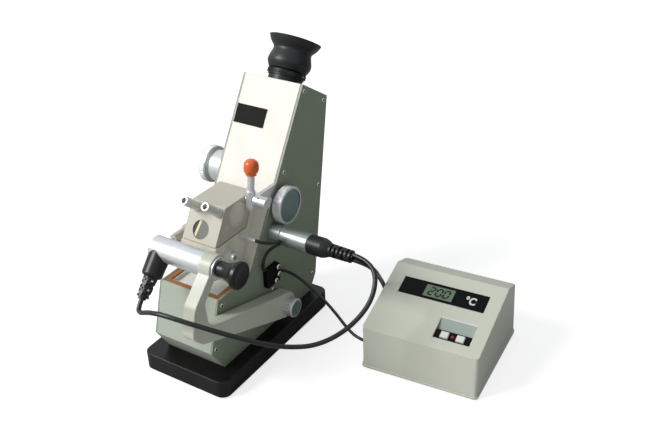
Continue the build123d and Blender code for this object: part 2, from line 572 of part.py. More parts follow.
def make_lower_nipples():
    shapes = []
    for y, z, r in LOWER_NIPPLES:
        hexed = Plane.YZ.offset(BLOCK_HALF) * Pos(y, z) * Rot(Z=12) * extrude(RegularPolygon(r, 6), 5.5)
        end = along_x(y, z, NIPPLE_D / 2 - 0.4, BLOCK_HALF + 5.5, BLOCK_HALF + 9.5)
        shapes.append(hexed + end - along_x(y, z, NIPPLE_BORE / 2 - 0.4, BLOCK_HALF - 1, BLOCK_HALF + 11))
    save("lower_hose_nipples", *shapes)


def make_probe():
    body = along_x(PROBE_Y, PROBE_Z, PROBE_R, BLOCK_HALF, BLOCK_HALF + PROBE_L)
    body += along_x(PROBE_Y, PROBE_Z, PROBE_TIP_R, BLOCK_HALF - PROBE_IN, BLOCK_HALF)
    body += along_x(PROBE_Y, PROBE_Z, PROBE_CORD_D / 2 + 0.4, BLOCK_HALF + PROBE_L - 1, PROBE_END)
    body -= along_x(PROBE_Y, PROBE_Z, PROBE_CORD_D / 2, PROBE_END - 1.5, PROBE_END + 1)
    save("probe_sleeve", body)


# ---------------------------------------------------------------- lock lever
LEVER = Plane(origin=(LOCK_X, LOCK_Y, LOCK_Z), x_dir=(1, 0, 0),
              z_dir=(0, sin(radians(LOCK_LEAN)), cos(radians(LOCK_LEAN))))


def make_lock():
    hub = Pos(0, 0, -LOCK_HUB_H / 2) * Cylinder(LOCK_HUB_R, LOCK_HUB_H, align=LOW)
    hub = fillet(hub.edges(), 0.8)
    rod = Pos(0, 0, LOCK_HUB_H / 2 - 1) * Cylinder(LOCK_ROD_R, LOCK_ROD_L + 1 + 6, align=LOW)
    lever = LEVER * (hub + rod) - along_x(LOCK_Y, LOCK_Z, AXLE_R + RUN_FIT, LOCK_X - 9, LOCK_X + 9)
    save("lock_lever", lever)
    base = LOCK_HUB_H / 2 + LOCK_ROD_L
    foot = BALL_FOOT
    shape = [Line((0, base), (foot, base)), Line((foot, base), (foot, base + 1.6)),
             Spline((foot, base + 1.6), (BALL_R, base + BALL_H * 0.56), (0, base + BALL_H),
                    tangents=((1, 1.0), (-1, 0))),
             Line((0, base + BALL_H), (0, base))]
    ball = revolve(Plane.XZ * make_face(Curve() + shape), Axis.Z)
    ball -= Pos(0, 0, base - 1) * Cylinder(LOCK_ROD_R, 7, align=LOW)
    save("lock_ball", LEVER * ball)
    x0 = LOCK_X + LOCK_HUB_R + 0.4
    sleeve = along_x(LOCK_Y, LOCK_Z, SLEEVE_R, x0, AXLE_END)
    sleeve = fillet(sleeve.edges().filter_by(GeomType.CIRCLE), 0.8)
    axle = along_x(LOCK_Y, LOCK_Z, AXLE_R, LOCK_X - LOCK_HUB_R, x0 + 2)
    z_low, z_high = LOCK_Z - SLEEVE_R + 0.6, LOCK_Z + SLEEVE_R - 0.6
    reach = [(y_panel(z_low), z_low), (y_panel(z_high), z_high), (LOCK_Y, z_high), (LOCK_Y, z_low)]
    bracket = side(reach, x0, HALF)
    bracket = bracket & Pos(0, 0, LOCK_Z) * Box(200, 200, 2 * SLEEVE_R - 1.2)
    hole = Plane(origin=(x0 + 5.5, LOCK_Y, LOCK_Z), z_dir=(0, -0.5, 0.866)) * Pos(0, 0, 3) * \
        Cylinder(1.1, SLEEVE_R, align=LOW)
    save("lock_bracket", sleeve + axle + bracket - hole)


def y_panel(z):
    """Y of the panel's face at this height."""
    return TOP_F[0] - (TOP_F[1] - z) * SL / CL - PANEL_PROUD / CL


# ---------------------------------------------------------------- knobs, shafts, scale
def gear(radius, teeth, deep, thick):
    """A disc with notches cut between its teeth."""
    disc = Cylinder(radius, thick, align=LOW)
    width = pi * radius / teeth
    for k in range(teeth):
        disc -= Rot(Z=360 * k / teeth) * Pos(radius, 0, thick / 2) * Box(2 * deep, width, thick + 1)
    return disc


def make_measuring():
    low, high = KNOB_BOSS, KNOB_BOSS + KNOB_T
    back = KNOB_FACE - high
    body = [(0, 0), (11, 0), (11, low), (KNOB_R - 1.2, low), (KNOB_R, low + 1.2), (KNOB_R, high - 0.8),
            (KNOB_R - 0.8, high), (KNOB_R - 2.4, high), (KNOB_R - 2.6, high - 0.7), (0, high - 0.7)]
    knob = turned(body)
    for k in range(60):
        knob -= Rot(Z=6 * k) * Pos(KNOB_R + 0.25, 0, low + KNOB_T / 2) * Cylinder(0.55, KNOB_T - 2.6)
    at = Plane.YZ.offset(back) * Pos(KNOB_Y, KNOB_Z)
    knob = at * knob - along_x(KNOB_Y, KNOB_Z, SHAFT_R, back - 1, back + 6)
    save("measuring_knob", knob)
    shaft = along_x(KNOB_Y, KNOB_Z, SHAFT_R, SECTOR_X + 6, back + 6)
    pinion = Plane.YZ.offset(SECTOR_X - 0.5) * Pos(KNOB_Y, KNOB_Z) * gear(PINION_R, 10, 0.7, 7)
    save("measuring_shaft", shaft + pinion)


def make_scale():
    """Hub shaft with mirror, scale disc and a toothed arm that the pinion drives."""
    web = WEB_X + WEB_T
    aim = degrees(atan2(KNOB_Z - HUB_Z, KNOB_Y - HUB_Y))
    at = Plane.YZ.offset(SECTOR_X) * Pos(HUB_Y, HUB_Z) * Rot(Z=aim)
    disc = Cylinder(SCALE_R, SECTOR_T, align=LOW)
    wide = 60 * sin(radians(SECTOR_SPAN))
    wedge = make_face(Polyline((0, 0), (60, -wide), (60, wide), close=True))
    arm = extrude(wedge, SECTOR_T) & Cylinder(SECTOR_R, SECTOR_T, align=LOW)
    cut_out = make_face(Polyline((21, -1.6), (33, -3), (33, 3), (21, 1.6), close=True))
    arm -= Pos(0, 0, -1) * extrude(cut_out, 9)
    for k in range(-6, 7):
        arm -= Rot(Z=k * 1.5) * Pos(SECTOR_R, 0, 1) * Box(1.4, 0.55, 4)
    shaft = along_x(HUB_Y, HUB_Z, SHAFT_R, 0.2 - web, web - 0.2)
    turn = radians(MIRROR_TURN)
    flat = Plane(origin=(0, HUB_Y, HUB_Z), x_dir=(1, 0, 0), z_dir=(0, cos(turn), sin(turn)))
    holder = flat * Box(21, 20, 7)
    mirror_glass = flat * Pos(0, 0, 3.5) * Box(19, 18, 1.2, align=LOW)
    save("scale_sector", at * (disc + arm) + shaft + holder, mirror_glass)


def make_compensator():
    """Stepped knob on the left: drum by the cover, groove, wider disc outside."""
    reach = -HALF - 1.0 - DIAL_FACE
    face = [(0, 0), (12, 0), (12, 1.6), (15.2, 1.6), (15.2, 14.5), (13.6, 15.2), (13.6, 17),
            (DIAL_R - 1, 17), (DIAL_R, 18), (DIAL_R, reach - 1), (DIAL_R - 1, reach), (0, reach)]
    knob = turned(face)
    for k in range(60):
        knob -= Rot(Z=6 * k) * Pos(DIAL_R + 0.25, 0, (18 + reach) / 2) * Cylinder(0.55, reach - 20)
    at = Plane(origin=(-HALF - 1.0, DIAL_Y, DIAL_Z), x_dir=(0, 1, 0), z_dir=(-1, 0, 0))
    knob = at * knob - along_x(DIAL_Y, DIAL_Z, SHAFT_R, -HALF - 13, -HALF)
    save("compensator_knob", knob)
    shaft = along_x(DIAL_Y, DIAL_Z, SHAFT_R, -HALF - 13, -CELL_OUT)
    pinion = Plane.YZ.offset(-CELL_OUT) * Pos(DIAL_Y, DIAL_Z) * gear(CELL_SPACE / 2 - 0.2, 12, 1.2, 3.6)
    save("compensator_shaft", shaft + pinion)


# ---------------------------------------------------------------- scale lamp
def relief(r0, r1, length, rings, bore):
    """Slotted strain relief: rings joined by pairs of bars that alternate."""
    step = length / rings
    body = Cone(r0 * 0.66, r1 * 0.66, length, align=LOW)
    for k in range(rings):
        r = r0 + (r1 - r0) * k / rings
        body += Pos(0, 0, k * step) * Cylinder(r, step * 0.52, align=LOW)
        if k < rings - 1:
            body += Pos(0, 0, k * step) * Rot(Z=90 * (k % 2)) * Box(1.94 * r, 0.7 * r, step, align=LOW)
    for y in bore:
        body -= Pos(0, y, length - 3) * Cylinder(CORD_D / 2, 4, align=LOW)
    return body


def make_scale_lamp():
    collar = Cylinder(SLAMP_COLLAR_R, SLAMP_COLLAR_L, align=LOW)
    length = SLAMP_END - HALF
    barrel = Cylinder(SLAMP_R, length, align=LOW)
    barrel = chamfer(barrel.edges().group_by(Axis.Z)[-1], 0.5)
    lamp = collar + barrel
    lamp -= Pos(0, 0, SLAMP_COLLAR_L - 0.3) * tube(SLAMP_R + 1, SLAMP_R - 0.35, 0.7)
    lamp -= Pos(0, 0, -1) * Cylinder(SLAMP_R - 1.8, length - 8, align=LOW)
    lamp -= Pos(0, 0, length - 10) * Cylinder(SLAMP_R - 2.6, 12, align=LOW)
    at = Plane.YZ.offset(HALF) * Pos(SLAMP_Y, SLAMP_Z)
    led = Pos(0, 0, 14) * Cylinder(2.5, length - 24 - 14, align=LOW) + Pos(0, 0, 14) * Sphere(2.5)
    led += Pos(0, 0, length - 26) * Cylinder(SLAMP_R - 1.9, 3, align=LOW)
    save("scale_lamp_tube", at * lamp, at * led)
    body = [(0, -7), (SLAMP_R - 2.6, -7), (SLAMP_R - 2.6, 0), (PLUG_R - 0.4, 0), (PLUG_R, 0.4),
            (PLUG_R, 14), (PLUG_R - 1, 17.5), (BOOT_R + 0.2, PLUG_L), (0, PLUG_L)]
    plug = turned(body) + Pos(0, 0, PLUG_L) * relief(BOOT_R, BOOT_R - 0.5, BOOT_L, 6, ())
    plug = Plane.YZ.offset(SLAMP_END) * Pos(SLAMP_Y, SLAMP_Z) * plug
    end = SLAMP_END + PLUG_L + BOOT_L
    for up in (CORD_SPACE, -CORD_SPACE):
        plug -= along_x(SLAMP_Y, SPLIT_Z + up, CORD_D / 2, end - 3, end + 1)
    save("scale_lamp_plug", plug)


# ---------------------------------------------------------------- sample-lamp arm
def make_arm():
    outline = make_face(FilletPolyline(*ARM_POINTS, radius=ARM_ROUND, close=True))
    face = outline + Pos(PIVOT_Y, PIVOT_Z) * Circle(PIVOT_R) + Pos(LAMP_Y, LAMP_Z) * Circle(ARM_TOP_R)
    arm = extrude(Plane.YZ.offset(ARM_IN) * face, ARM_T)
    rim = [e for e in arm.edges() if abs(e.center().X - ARM_OUT) < 0.01]
    arm = chamfer(rim, 0.5)
    arm += along_x(PIVOT_Y, PIVOT_Z, 9.0, HALF + 0.1, ARM_IN + 0.5)
    arm -= along_x(PIVOT_Y, PIVOT_Z, SHAFT_R + RUN_FIT, HALF - 1, ARM_OUT + 1)
    arm -= along_x(LAMP_Y, LAMP_Z, LAMP_BORE_R, ARM_IN - 1, ARM_OUT + 1)
    save("light_arm", arm)
    # lamp housing: a tube with a closed left end and a window to the prism box
    shell = along_x(LAMP_Y, LAMP_Z, LAMP_R, LAMP_LEFT, ARM_IN)
    shell = chamfer(shell.edges().filter_by(GeomType.CIRCLE).group_by(Axis.X)[0], 0.6)
    shell -= along_x(LAMP_Y, LAMP_Z, LAMP_BORE_R, LAMP_LEFT + 2, ARM_IN + 1)
    shell -= AIM * Cylinder(6.0, LAMP_R + 2, align=LOW)
    shell -= LPLUG * Cylinder(5.0, LAMP_R + 2, align=LOW)
    washer = Plane.YZ.offset(ARM_OUT) * Pos(LAMP_Y, LAMP_Z) * tube(WASHER_R, 5.0, WASHER_T)
    save("lamp_housing", shell, washer)


AIM = Plane(origin=(0, LAMP_Y, LAMP_Z), z_dir=(0, *(a - b for a, b in zip(joint(6, 11), (LAMP_Y, LAMP_Z)))))
LPLUG = Plane(origin=(LPLUG_X, LAMP_Y, LAMP_Z), x_dir=(1, 0, 0),
              z_dir=(0, -cos(radians(LPLUG_DROP)), -sin(radians(LPLUG_DROP))))


def make_lamp_plug():
    """Plug with a saddle that hugs the lamp housing, and a strain relief."""
    end = LPLUG_OUT
    saddle = LPLUG * Pos(0, 0, 2) * Cone(LPLUG_R + 0.6, LPLUG_R, 13, align=LOW)
    saddle -= along_x(LAMP_Y, LAMP_Z, LAMP_R, LAMP_LEFT - 1, ARM_IN)
    body = [(0, 14), (LPLUG_R, 14), (LPLUG_R - 0.3, end - 2.5), (LPLUG_R - 1.4, end - 0.8),
            (6.2, end), (0, end)]
    boot = Pos(0, 0, end - 0.5) * relief(6.2, 5.2, LBOOT_OUT - end + 0.5, 5, (0,))
    pins = LPLUG * Pos(0, 0, 9.2) * Cylinder(5.0, 3, align=LOW)
    save("lamp_plug", saddle + LPLUG * (turned(body) + boot) + pins)


def make_lamp_knob():
    """Flared knob; its sleeve is a shutter that turns inside the lamp housing."""
    n, r, high = LKNOB_NECK_R, LKNOB_R, LKNOB_L
    x0 = ARM_OUT + WASHER_T + 0.3
    flare = [Line((0, 0), (n, 0)), Line((n, 0), (n, 5)),
             Spline((n, 5), (n + 1.2, 11), (r - 0.8, 17), tangents=((0, 1), (1, 1))),
             Line((r - 0.8, 17), (r, 18.4)), Line((r, 18.4), (r, high - 0.8)),
             Line((r, high - 0.8), (r - 0.8, high)),
             Spline((r - 0.8, high), (0, high - LKNOB_DISH), tangents=((-1, -0.5), (-1, 0))),
             Line((0, high - LKNOB_DISH), (0, 0))]
    knob = revolve(Plane.XZ * make_face(Curve() + flare), Axis.Z)
    at = Plane.YZ.offset(x0) * Pos(LAMP_Y, LAMP_Z)
    save("lamp_knob", at * knob)
    stem = Pos(0, 0, -ARM_T - 4) * Cylinder(4.0, ARM_T + 4, align=LOW)
    inner = LAMP_BORE_R - RUN_FIT
    shutter = tube(inner, inner - 1.2, x0 - LAMP_LEFT - 2.4 - 2)
    shutter += Cylinder(inner, 2, align=LOW)
    shutter = Plane.YZ.offset(LAMP_LEFT + 2.3) * Pos(LAMP_Y, LAMP_Z) * shutter
    cap = along_x(LAMP_Y, LAMP_Z, inner, ARM_OUT - 4, ARM_OUT - 0.3)
    shutter = shutter & along_x(LAMP_Y, LAMP_Z, 20, LAMP_LEFT, ARM_OUT - 1)
    shutter -= AIM * Cylinder(5.0, LAMP_R + 2, align=LOW)
    shutter -= LPLUG * Cylinder(5.6, LAMP_R + 2, align=LOW)
    save("lamp_shutter", shutter + cap + at * stem)


def make_pivot_knob():
    head = Cylinder(CLAMP_R, CLAMP_T, align=LOW)
    head = fillet(head.edges().group_by(Axis.Z)[-1], 1.0)
    for k in range(30):
        head -= Rot(Z=12 * k) * Pos(CLAMP_R + 0.2, 0, CLAMP_T / 2) * Cylinder(0.5, CLAMP_T - 2)
    stud = Pos(0, 0, WEB_X - ARM_OUT) * Cylinder(SHAFT_R, ARM_OUT - WEB_X + 1, align=LOW)
    at = Plane.YZ.offset(ARM_OUT) * Pos(PIVOT_Y, PIVOT_Z)
    save("pivot_knob", at * (Pos(0, 0, 0.1) * head + stud))


# ---------------------------------------------------------------- thermometer
def th_side(points, x0, x1):
    """Plate in the thermometer's own frame, from its Y, Z outline."""
    return THERMO * extrude(Plane.YZ.offset(x0) * make_face(Polyline(*points, close=True)), x1 - x0)


def panel_z(y):
    """Height of the thermometer's sloping panel at this depth."""
    return TH_FRONT + (TH_RIDGE - TH_FRONT) * y / TH_RIDGE_Y


TH_TILT = atan2(TH_RIDGE - TH_FRONT, TH_RIDGE_Y)
TH_PANEL = THERMO * Pos(0, 0, TH_FRONT) * Rot(X=degrees(TH_TILT))
TH_LOW = TH_FOOT + TH_PLATE
MIN3 = (Align.MIN, Align.MIN, Align.MIN)


def flat_box(x, y, w, h, low, high):
    """Box on the sloping panel: x, y and size as seen, low and high square to it."""
    return TH_PANEL * Pos(x, y, low) * Box(w, h, high - low, align=MIN3)


def make_thermometer():
    tall = [(0, TH_LOW), (0, TH_FRONT), (TH_RIDGE_Y, TH_RIDGE), (TH_REAR_Y, TH_REAR), (TH_D, TH_LOW)]
    outer = th_side(tall, 0, TH_W)
    edges = []
    for e in outer.edges():
        if abs(e.tangent_at(0.5).Z) > 0.9:
            edges.append(e)
    outer = fillet(edges, 3.0)
    t = TH_WALL
    inner = [(t, TH_LOW - 1), (t, panel_z(t) - t), (TH_RIDGE_Y, TH_RIDGE - t),
             (TH_REAR_Y - t, TH_REAR - t - 0.6), (TH_D - t - 0.2, TH_LOW - 1)]
    case = outer - th_side(inner, t, TH_W - t)
    case -= flat_box(WIN_X, WIN_Y, WIN_W, WIN_H, -9, 9)
    case -= flat_box(REC_X, REC_Y, REC_W, REC_H, -9, 9)
    case -= THERMO * Pos(0, GROMMET_Y, GROMMET_Z) * Rot(Y=90) * Cylinder(GROMMET_R, 8)
    save("thermometer_case", case)
    pane = flat_box(WIN_X, WIN_Y, WIN_W, WIN_H, -TH_WALL - 0.5, -0.5)
    lip = flat_box(WIN_X - 2, WIN_Y - 2, WIN_W + 4, WIN_H + 4, -TH_WALL - 1.2, -TH_WALL - 0.02)
    save("display_window", pane + lip)
    lcd_y = WIN_Y + (WIN_H - LCD_H) / 2
    lcd = flat_box(LCD_X, lcd_y, LCD_W, LCD_H, -0.5, -0.2)
    save("lcd", lcd)


def make_switch():
    """Recess with a floor that dips to the front, and the key strip standing in it."""
    x0, x1 = REC_X, REC_X + REC_W
    drop, t = 4.2, 1.2
    y0, ym, y1 = REC_Y, REC_Y + STRIP_H, REC_Y + REC_H
    floor = [(y0, -1.2), (ym, -1.2), (ym, -drop), (y1, -0.4), (y1, -0.4 - 2 * t), (ym, -drop - t),
             (y0, -drop - t)]
    face = make_face(Polyline(*floor, close=True))
    bezel = TH_PANEL * extrude(Plane.YZ.offset(x0) * face, x1 - x0)
    flange = flat_box(x0 - 2, y0 - 2, REC_W + 4, REC_H + 4, -drop - t, -drop + 0.2 - t)
    keys = []
    for k in KEY_X:
        kx = x0 + k - KEY_W / 2
        ky = y0 + (STRIP_H - KEY_H) / 2
        bezel -= flat_box(kx - 0.3, ky - 0.3, KEY_W + 0.6, KEY_H + 0.6, -9, 9)
        flange -= flat_box(kx - 0.3, ky - 0.3, KEY_W + 0.6, KEY_H + 0.6, -9, 9)
        key = Box(KEY_W, KEY_H, 6.0, align=MIN3)
        key = fillet(key.edges().group_by(Axis.Z)[-1], 0.7)
        keys.append(TH_PANEL * Pos(kx, ky, -5.2) * key)
    save("switch_bezel", bezel + flange)
    save("key_left", keys[0])
    save("key_right", keys[1])
    board = THERMO * Pos(8, 8, TH_LOW) * Box(TH_W - 16, TH_D - 16, 1.6, align=MIN3)
    for x, y in ((16, 20), (TH_W - 20, 20), (TH_W / 2, TH_D - 20)):
        board += THERMO * Pos(x, y, TH_LOW) * Cylinder(3, 4, align=LOW)
    board += THERMO * Pos(30, 40, TH_LOW + 1.6) * Box(22, 30, 12, align=MIN3)
    plate = RectangleRounded(TH_W + 2 * TH_LIP, TH_D + 2 * TH_LIP, 4)
    plate = THERMO * Pos(TH_W / 2, TH_D / 2, TH_FOOT) * extrude(plate, TH_PLATE)
    save("thermometer_base", plate, board)


# ---------------------------------------------------------------- cords
def cord(name, points, diameter):
    """Tube along straight runs with arcs between them; prints its radii and volumes."""
    spots = [Vector(*p) for p in points]
    radii = []
    for a, b, c in zip(spots, spots[1:], spots[2:]):
        half = radians((b - a).get_angle(c - b)) / 2
        reach = min((b - a).length, (c - b).length)
        radii.append(0.45 * reach / tan(half))
    path = FilletPolyline(*points, radius=radii)
    start = Plane(origin=points[0], z_dir=path % 0)
    body = sweep(start * Circle(diameter / 2), path=path)
    share = body.volume / (pi * diameter ** 2 / 4 * path.length)
    print(name, "length", round(path.length, 1), "radii", [round(r, 1) for r in radii],
          "volume share", round(share, 4))
    save(name, body)


def past_boot(reach):
    """Point on the lamp plug's axis, so far beyond the end of its relief."""
    out = LBOOT_OUT + reach
    return (LPLUG_X, LAMP_Y - out * cos(radians(LPLUG_DROP)), LAMP_Z - out * sin(radians(LPLUG_DROP)))


UPPER_LEAD, LOWER_LEAD = (SLAMP_Y, SPLIT_Z + CORD_SPACE), (SLAMP_Y, SPLIT_Z - CORD_SPACE)
LINK = [(CORD_END - 2, *UPPER_LEAD), (130, *UPPER_LEAD), (146, 12, 112), (151, -6, 95), (141, -28, 77.5),
        (124, -50, 68.5), (106, -70, 73), (89, -89, 84.5), (66, -108, 99), (41, -119.5, 107.5),
        (21, -123, 109.5), (4.5, -121.5, 104.5), (-8, -117.5, 96.5), past_boot(8), past_boot(-2.5)]
SUPPLY = [(CORD_END - 2, *LOWER_LEAD), (129, *LOWER_LEAD), (133, 30, 102), (126, 50, 81), (118, 73, 57),
          (110, 94, 31), (106, 113, 10.5), (108, 129, LIES_Z), (122, 137.5, LIES_Z), (143, 135.4, LIES_Z),
          (COIL_X - CORD_D, COIL_Y - COIL_R, LIES_Z)]
PROBE_CORD = [(PROBE_END - 1.5, PROBE_Y, PROBE_Z), (PROBE_END + 4, PROBE_Y, PROBE_Z), (47, -2, 119.6),
              (52.5, 4.5, 120.8), (49.5, 8, 115.5), (43, 5, 111), (37.5, 1.5, 105), (36.2, -2.8, 97),
              CLIP_PATH[0], CLIP_PATH[1], (38.5, 35, 65), (48, 41, 55.5), (63, 43.5, 44), (82, 41, 32.5),
              (102, 34.5, 21.5), (115, 31.6, 18), (128.5, 31, 18)]


# put-away length: two layers of loops behind the thermometer
def coil_path():
    """Half circles stepping inwards, a half turn that climbs, half circles back out."""
    radii = [COIL_R - COIL_PITCH / 2 * k for k in range(COIL_HALVES)]
    y, side_x = -COIL_R, 1
    path = [Line(coil_spot(-CORD_D, y, 0), coil_spot(0, y, 0))]
    for level, sizes in ((0, radii), (1, radii[:COIL_HALVES - COIL_TOP - 1:-1])):
        if level:
            r = COIL_R - COIL_PITCH / 2 * COIL_HALVES
            climb = []
            for k in range(13):
                turn = pi * k / 12
                rise = (1 - cos(turn)) / 2
                climb.append(coil_spot(side_x * r * sin(turn), y + 2 * side_x * r * rise, rise))
            path.append(Spline(*climb, tangents=((side_x, 0, 0), (-side_x, 0, 0))))
            y += 2 * side_x * r
            side_x = -side_x
        for r in sizes:
            ends = coil_spot(0, y, level), coil_spot(0, y + 2 * side_x * r, level)
            path.append(ThreePointArc(ends[0], coil_spot(side_x * r, y + side_x * r, level), ends[1]))
            y += 2 * side_x * r
            side_x = -side_x
    leave = [coil_spot(0, y, 1), coil_spot(-22, y - 8.5, 0.98), coil_spot(-34, y - 28, 0.75),
             coil_spot(-38, y - 38, 0.6), (PLUG_X, PLUG_Y, SPLUG_R)]
    path.append(Spline(*leave, tangents=((-1, 0, 0), (-1, 0, 0))))
    return path


def coil_spot(x, y, level):
    return (COIL_X + x, COIL_Y + y, LIES_Z + COIL_RISE * level)


def least_gap(edges, diameter):
    """Smallest gap of a tube to itself, measured on points along its path."""
    spots = []
    for edge in edges:
        count = max(2, int(edge.length / 1.5))
        spots += [tuple(edge @ (k / count)) for k in range(count)]
    skip = int(3 * diameter / 1.5)
    least = 1e9
    for i, a in enumerate(spots):
        for b in spots[i + skip:]:
            least = min(least, (a[0] - b[0]) ** 2 + (a[1] - b[1]) ** 2 + (a[2] - b[2]) ** 2)
    return least ** 0.5 - diameter


def make_coil():
    edges = coil_path()
    path = Wire(edges)
    start = Plane(origin=edges[0] @ 0, z_dir=edges[0] % 0)
    coil = sweep(start * Circle(CORD_D / 2), path=path)
    share = coil.volume / (pi * CORD_D ** 2 / 4 * path.length)
    print("supply_coil length", round(path.length, 1), "gap", round(least_gap(edges, CORD_D), 2),
          "volume share", round(share, 4))
    save("supply_coil", coil)
    tip = Plane(origin=edges[-1] @ 1, z_dir=(-1, 0, 0))
    r = SPLUG_R
    body = [(CORD_D / 2, -3), (3.2, -3), (3.8, 6), (r, 8), (r, 25), (r - 0.8, 26), (2.75, 26),
            (2.75, 35.5), (1.25, 35.5), (1.25, 29), (0, 29), (0, 0), (CORD_D / 2, 0)]
    save("supply_plug", tip * turned(body))


def make_cords():
    cord("link_cable", LINK, CORD_D)
    cord("supply_cable", SUPPLY, CORD_D)
    cord("probe_cable", PROBE_CORD, PROBE_CORD_D)


def make_all():
    make_base()
    make_feet()
    make_covers()
    make_rear_cover()
    make_panel()
    make_housing()
    make_tray()
    make_screws()
    make_clip()
    make_chassis()
    make_telescope()
    make_cells()
    make_eyepiece()
    make_upper_box()
    make_hinge()
    make_block()
    make_lower_nipples()
    make_probe()
    make_lock()
    make_measuring()
    make_scale()
    make_compensator()
    make_scale_lamp()
    make_arm()
    make_lamp_plug()
    make_lamp_knob()
    make_pivot_knob()
    make_thermometer()
    make_switch()
    make_cords()
    make_coil()


make_all()
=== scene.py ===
# %% [markdown]
# # A bench refractometer and its thermometer
# The instrument reads how strongly a liquid bends light. A drop lies between two prisms
# in the sloping box, a small lamp on a jointed arm lights them, and the eye looks down the
# tall casing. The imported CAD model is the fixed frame: each piece below is laid on it and
# rides on one of its bodies. Everything is in metres, and the origin is on the bench.

# %% Load the frame
import json
from math import atan2, cos, pi, radians, sin

import bmesh
import bpy
from mathutils import Matrix, Vector


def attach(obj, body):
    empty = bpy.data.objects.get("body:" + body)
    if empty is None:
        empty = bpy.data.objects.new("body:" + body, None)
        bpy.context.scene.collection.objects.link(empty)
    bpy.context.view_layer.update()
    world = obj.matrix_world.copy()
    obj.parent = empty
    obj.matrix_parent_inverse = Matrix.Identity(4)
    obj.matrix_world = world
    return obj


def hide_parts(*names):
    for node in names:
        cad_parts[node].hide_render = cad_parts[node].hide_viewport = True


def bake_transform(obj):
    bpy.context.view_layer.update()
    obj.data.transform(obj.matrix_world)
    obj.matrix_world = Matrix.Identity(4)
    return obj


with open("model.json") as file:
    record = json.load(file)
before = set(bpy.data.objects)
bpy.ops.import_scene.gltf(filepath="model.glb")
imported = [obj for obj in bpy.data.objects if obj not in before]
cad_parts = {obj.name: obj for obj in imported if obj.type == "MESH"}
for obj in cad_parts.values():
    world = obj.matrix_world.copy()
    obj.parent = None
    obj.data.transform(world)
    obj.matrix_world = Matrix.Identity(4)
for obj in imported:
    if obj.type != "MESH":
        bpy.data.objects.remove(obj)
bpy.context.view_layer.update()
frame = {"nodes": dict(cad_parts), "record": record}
nodes = frame["nodes"]

# %% [markdown]
# ## The camera
# The picture was taken from the front right, looking down by thirty degrees, with the
# camera tipped a little. A lens of about 50 mm on a 36 mm sensor gives the same
# perspective, so the camera stands about 0.9 m away.

# %% Camera
MM = 0.001
TURN, DOWN, TIP = radians(33.43), radians(30.10), radians(-2.016)
SPOT = Vector((0.4661, -0.5500, 0.5434))
FOCAL_PX, PICTURE_W, SENSOR = 911.05, 650, 36.0

ahead = Vector((-sin(TURN) * cos(DOWN), cos(TURN) * cos(DOWN), -sin(DOWN)))
level_right = Vector((cos(TURN), sin(TURN), 0))
level_up = level_right.cross(ahead)
right = level_right * cos(TIP) + level_up * sin(TIP)
up = level_up * cos(TIP) - level_right * sin(TIP)

camera = bpy.data.objects.new("camera", bpy.data.cameras.new("camera"))
bpy.context.collection.objects.link(camera)
axes = Matrix((right, up, -ahead)).transposed().to_4x4()
camera.matrix_world = Matrix.Translation(SPOT) @ axes
camera.data.sensor_width = SENSOR
camera.data.lens = FOCAL_PX / PICTURE_W * SENSOR
camera.data.clip_start = 0.02
bpy.context.scene.camera = camera
print("lens", round(camera.data.lens, 1), "mm")

# %% [markdown]
# ## The cords
# A flexible lead has no corners, so each one starts as a NURBS curve whose control points
# are the lead's route in the CAD model. The curve bends evenly past each point, as rubber
# does. One lead joins both lamps, one goes down behind the thermometer to a plug, and a
# thin one carries the sensor's signal.

# %% Helpers for the cords
LEAD_D, PROBE_D = 4.2, 3.0
AROUND, STEPS = 5, 10


def run_length(points):
    return sum((b - a).length for a, b in zip(points, points[1:]))


def lay_cord(name, route, diameter):
    """A round mesh cord along one smooth NURBS spline, and the points of its middle line."""
    curve = bpy.data.curves.new(name, "CURVE")
    curve.dimensions = "3D"
    spline = curve.splines.new("NURBS")
    spline.points.add(len(route) - 1)
    for point, place in zip(spline.points, route):
        point.co = (*(c * MM for c in place), 1.0)
    spline.order_u = 3
    spline.use_endpoint_u = True
    spline.resolution_u = STEPS
    holder = bpy.data.objects.new(name, curve)
    bpy.context.collection.objects.link(holder)
    middle = bpy.data.meshes.new_from_object(holder)
    line = [v.co.copy() for v in middle.vertices]
    curve.bevel_depth = diameter / 2 * MM
    curve.bevel_resolution = AROUND
    curve.use_fill_caps = True
    holder.data.update_tag()
    bpy.context.view_layer.update()
    tube = bpy.data.meshes.new_from_object(holder)
    tube.name = name
    bpy.data.objects.remove(holder)
    bpy.data.meshes.remove(middle)
    piece = bpy.data.objects.new(name, tube)
    bpy.context.collection.objects.link(piece)
    print(name, "length", round(run_length(line), 4), "m")
    return piece, line


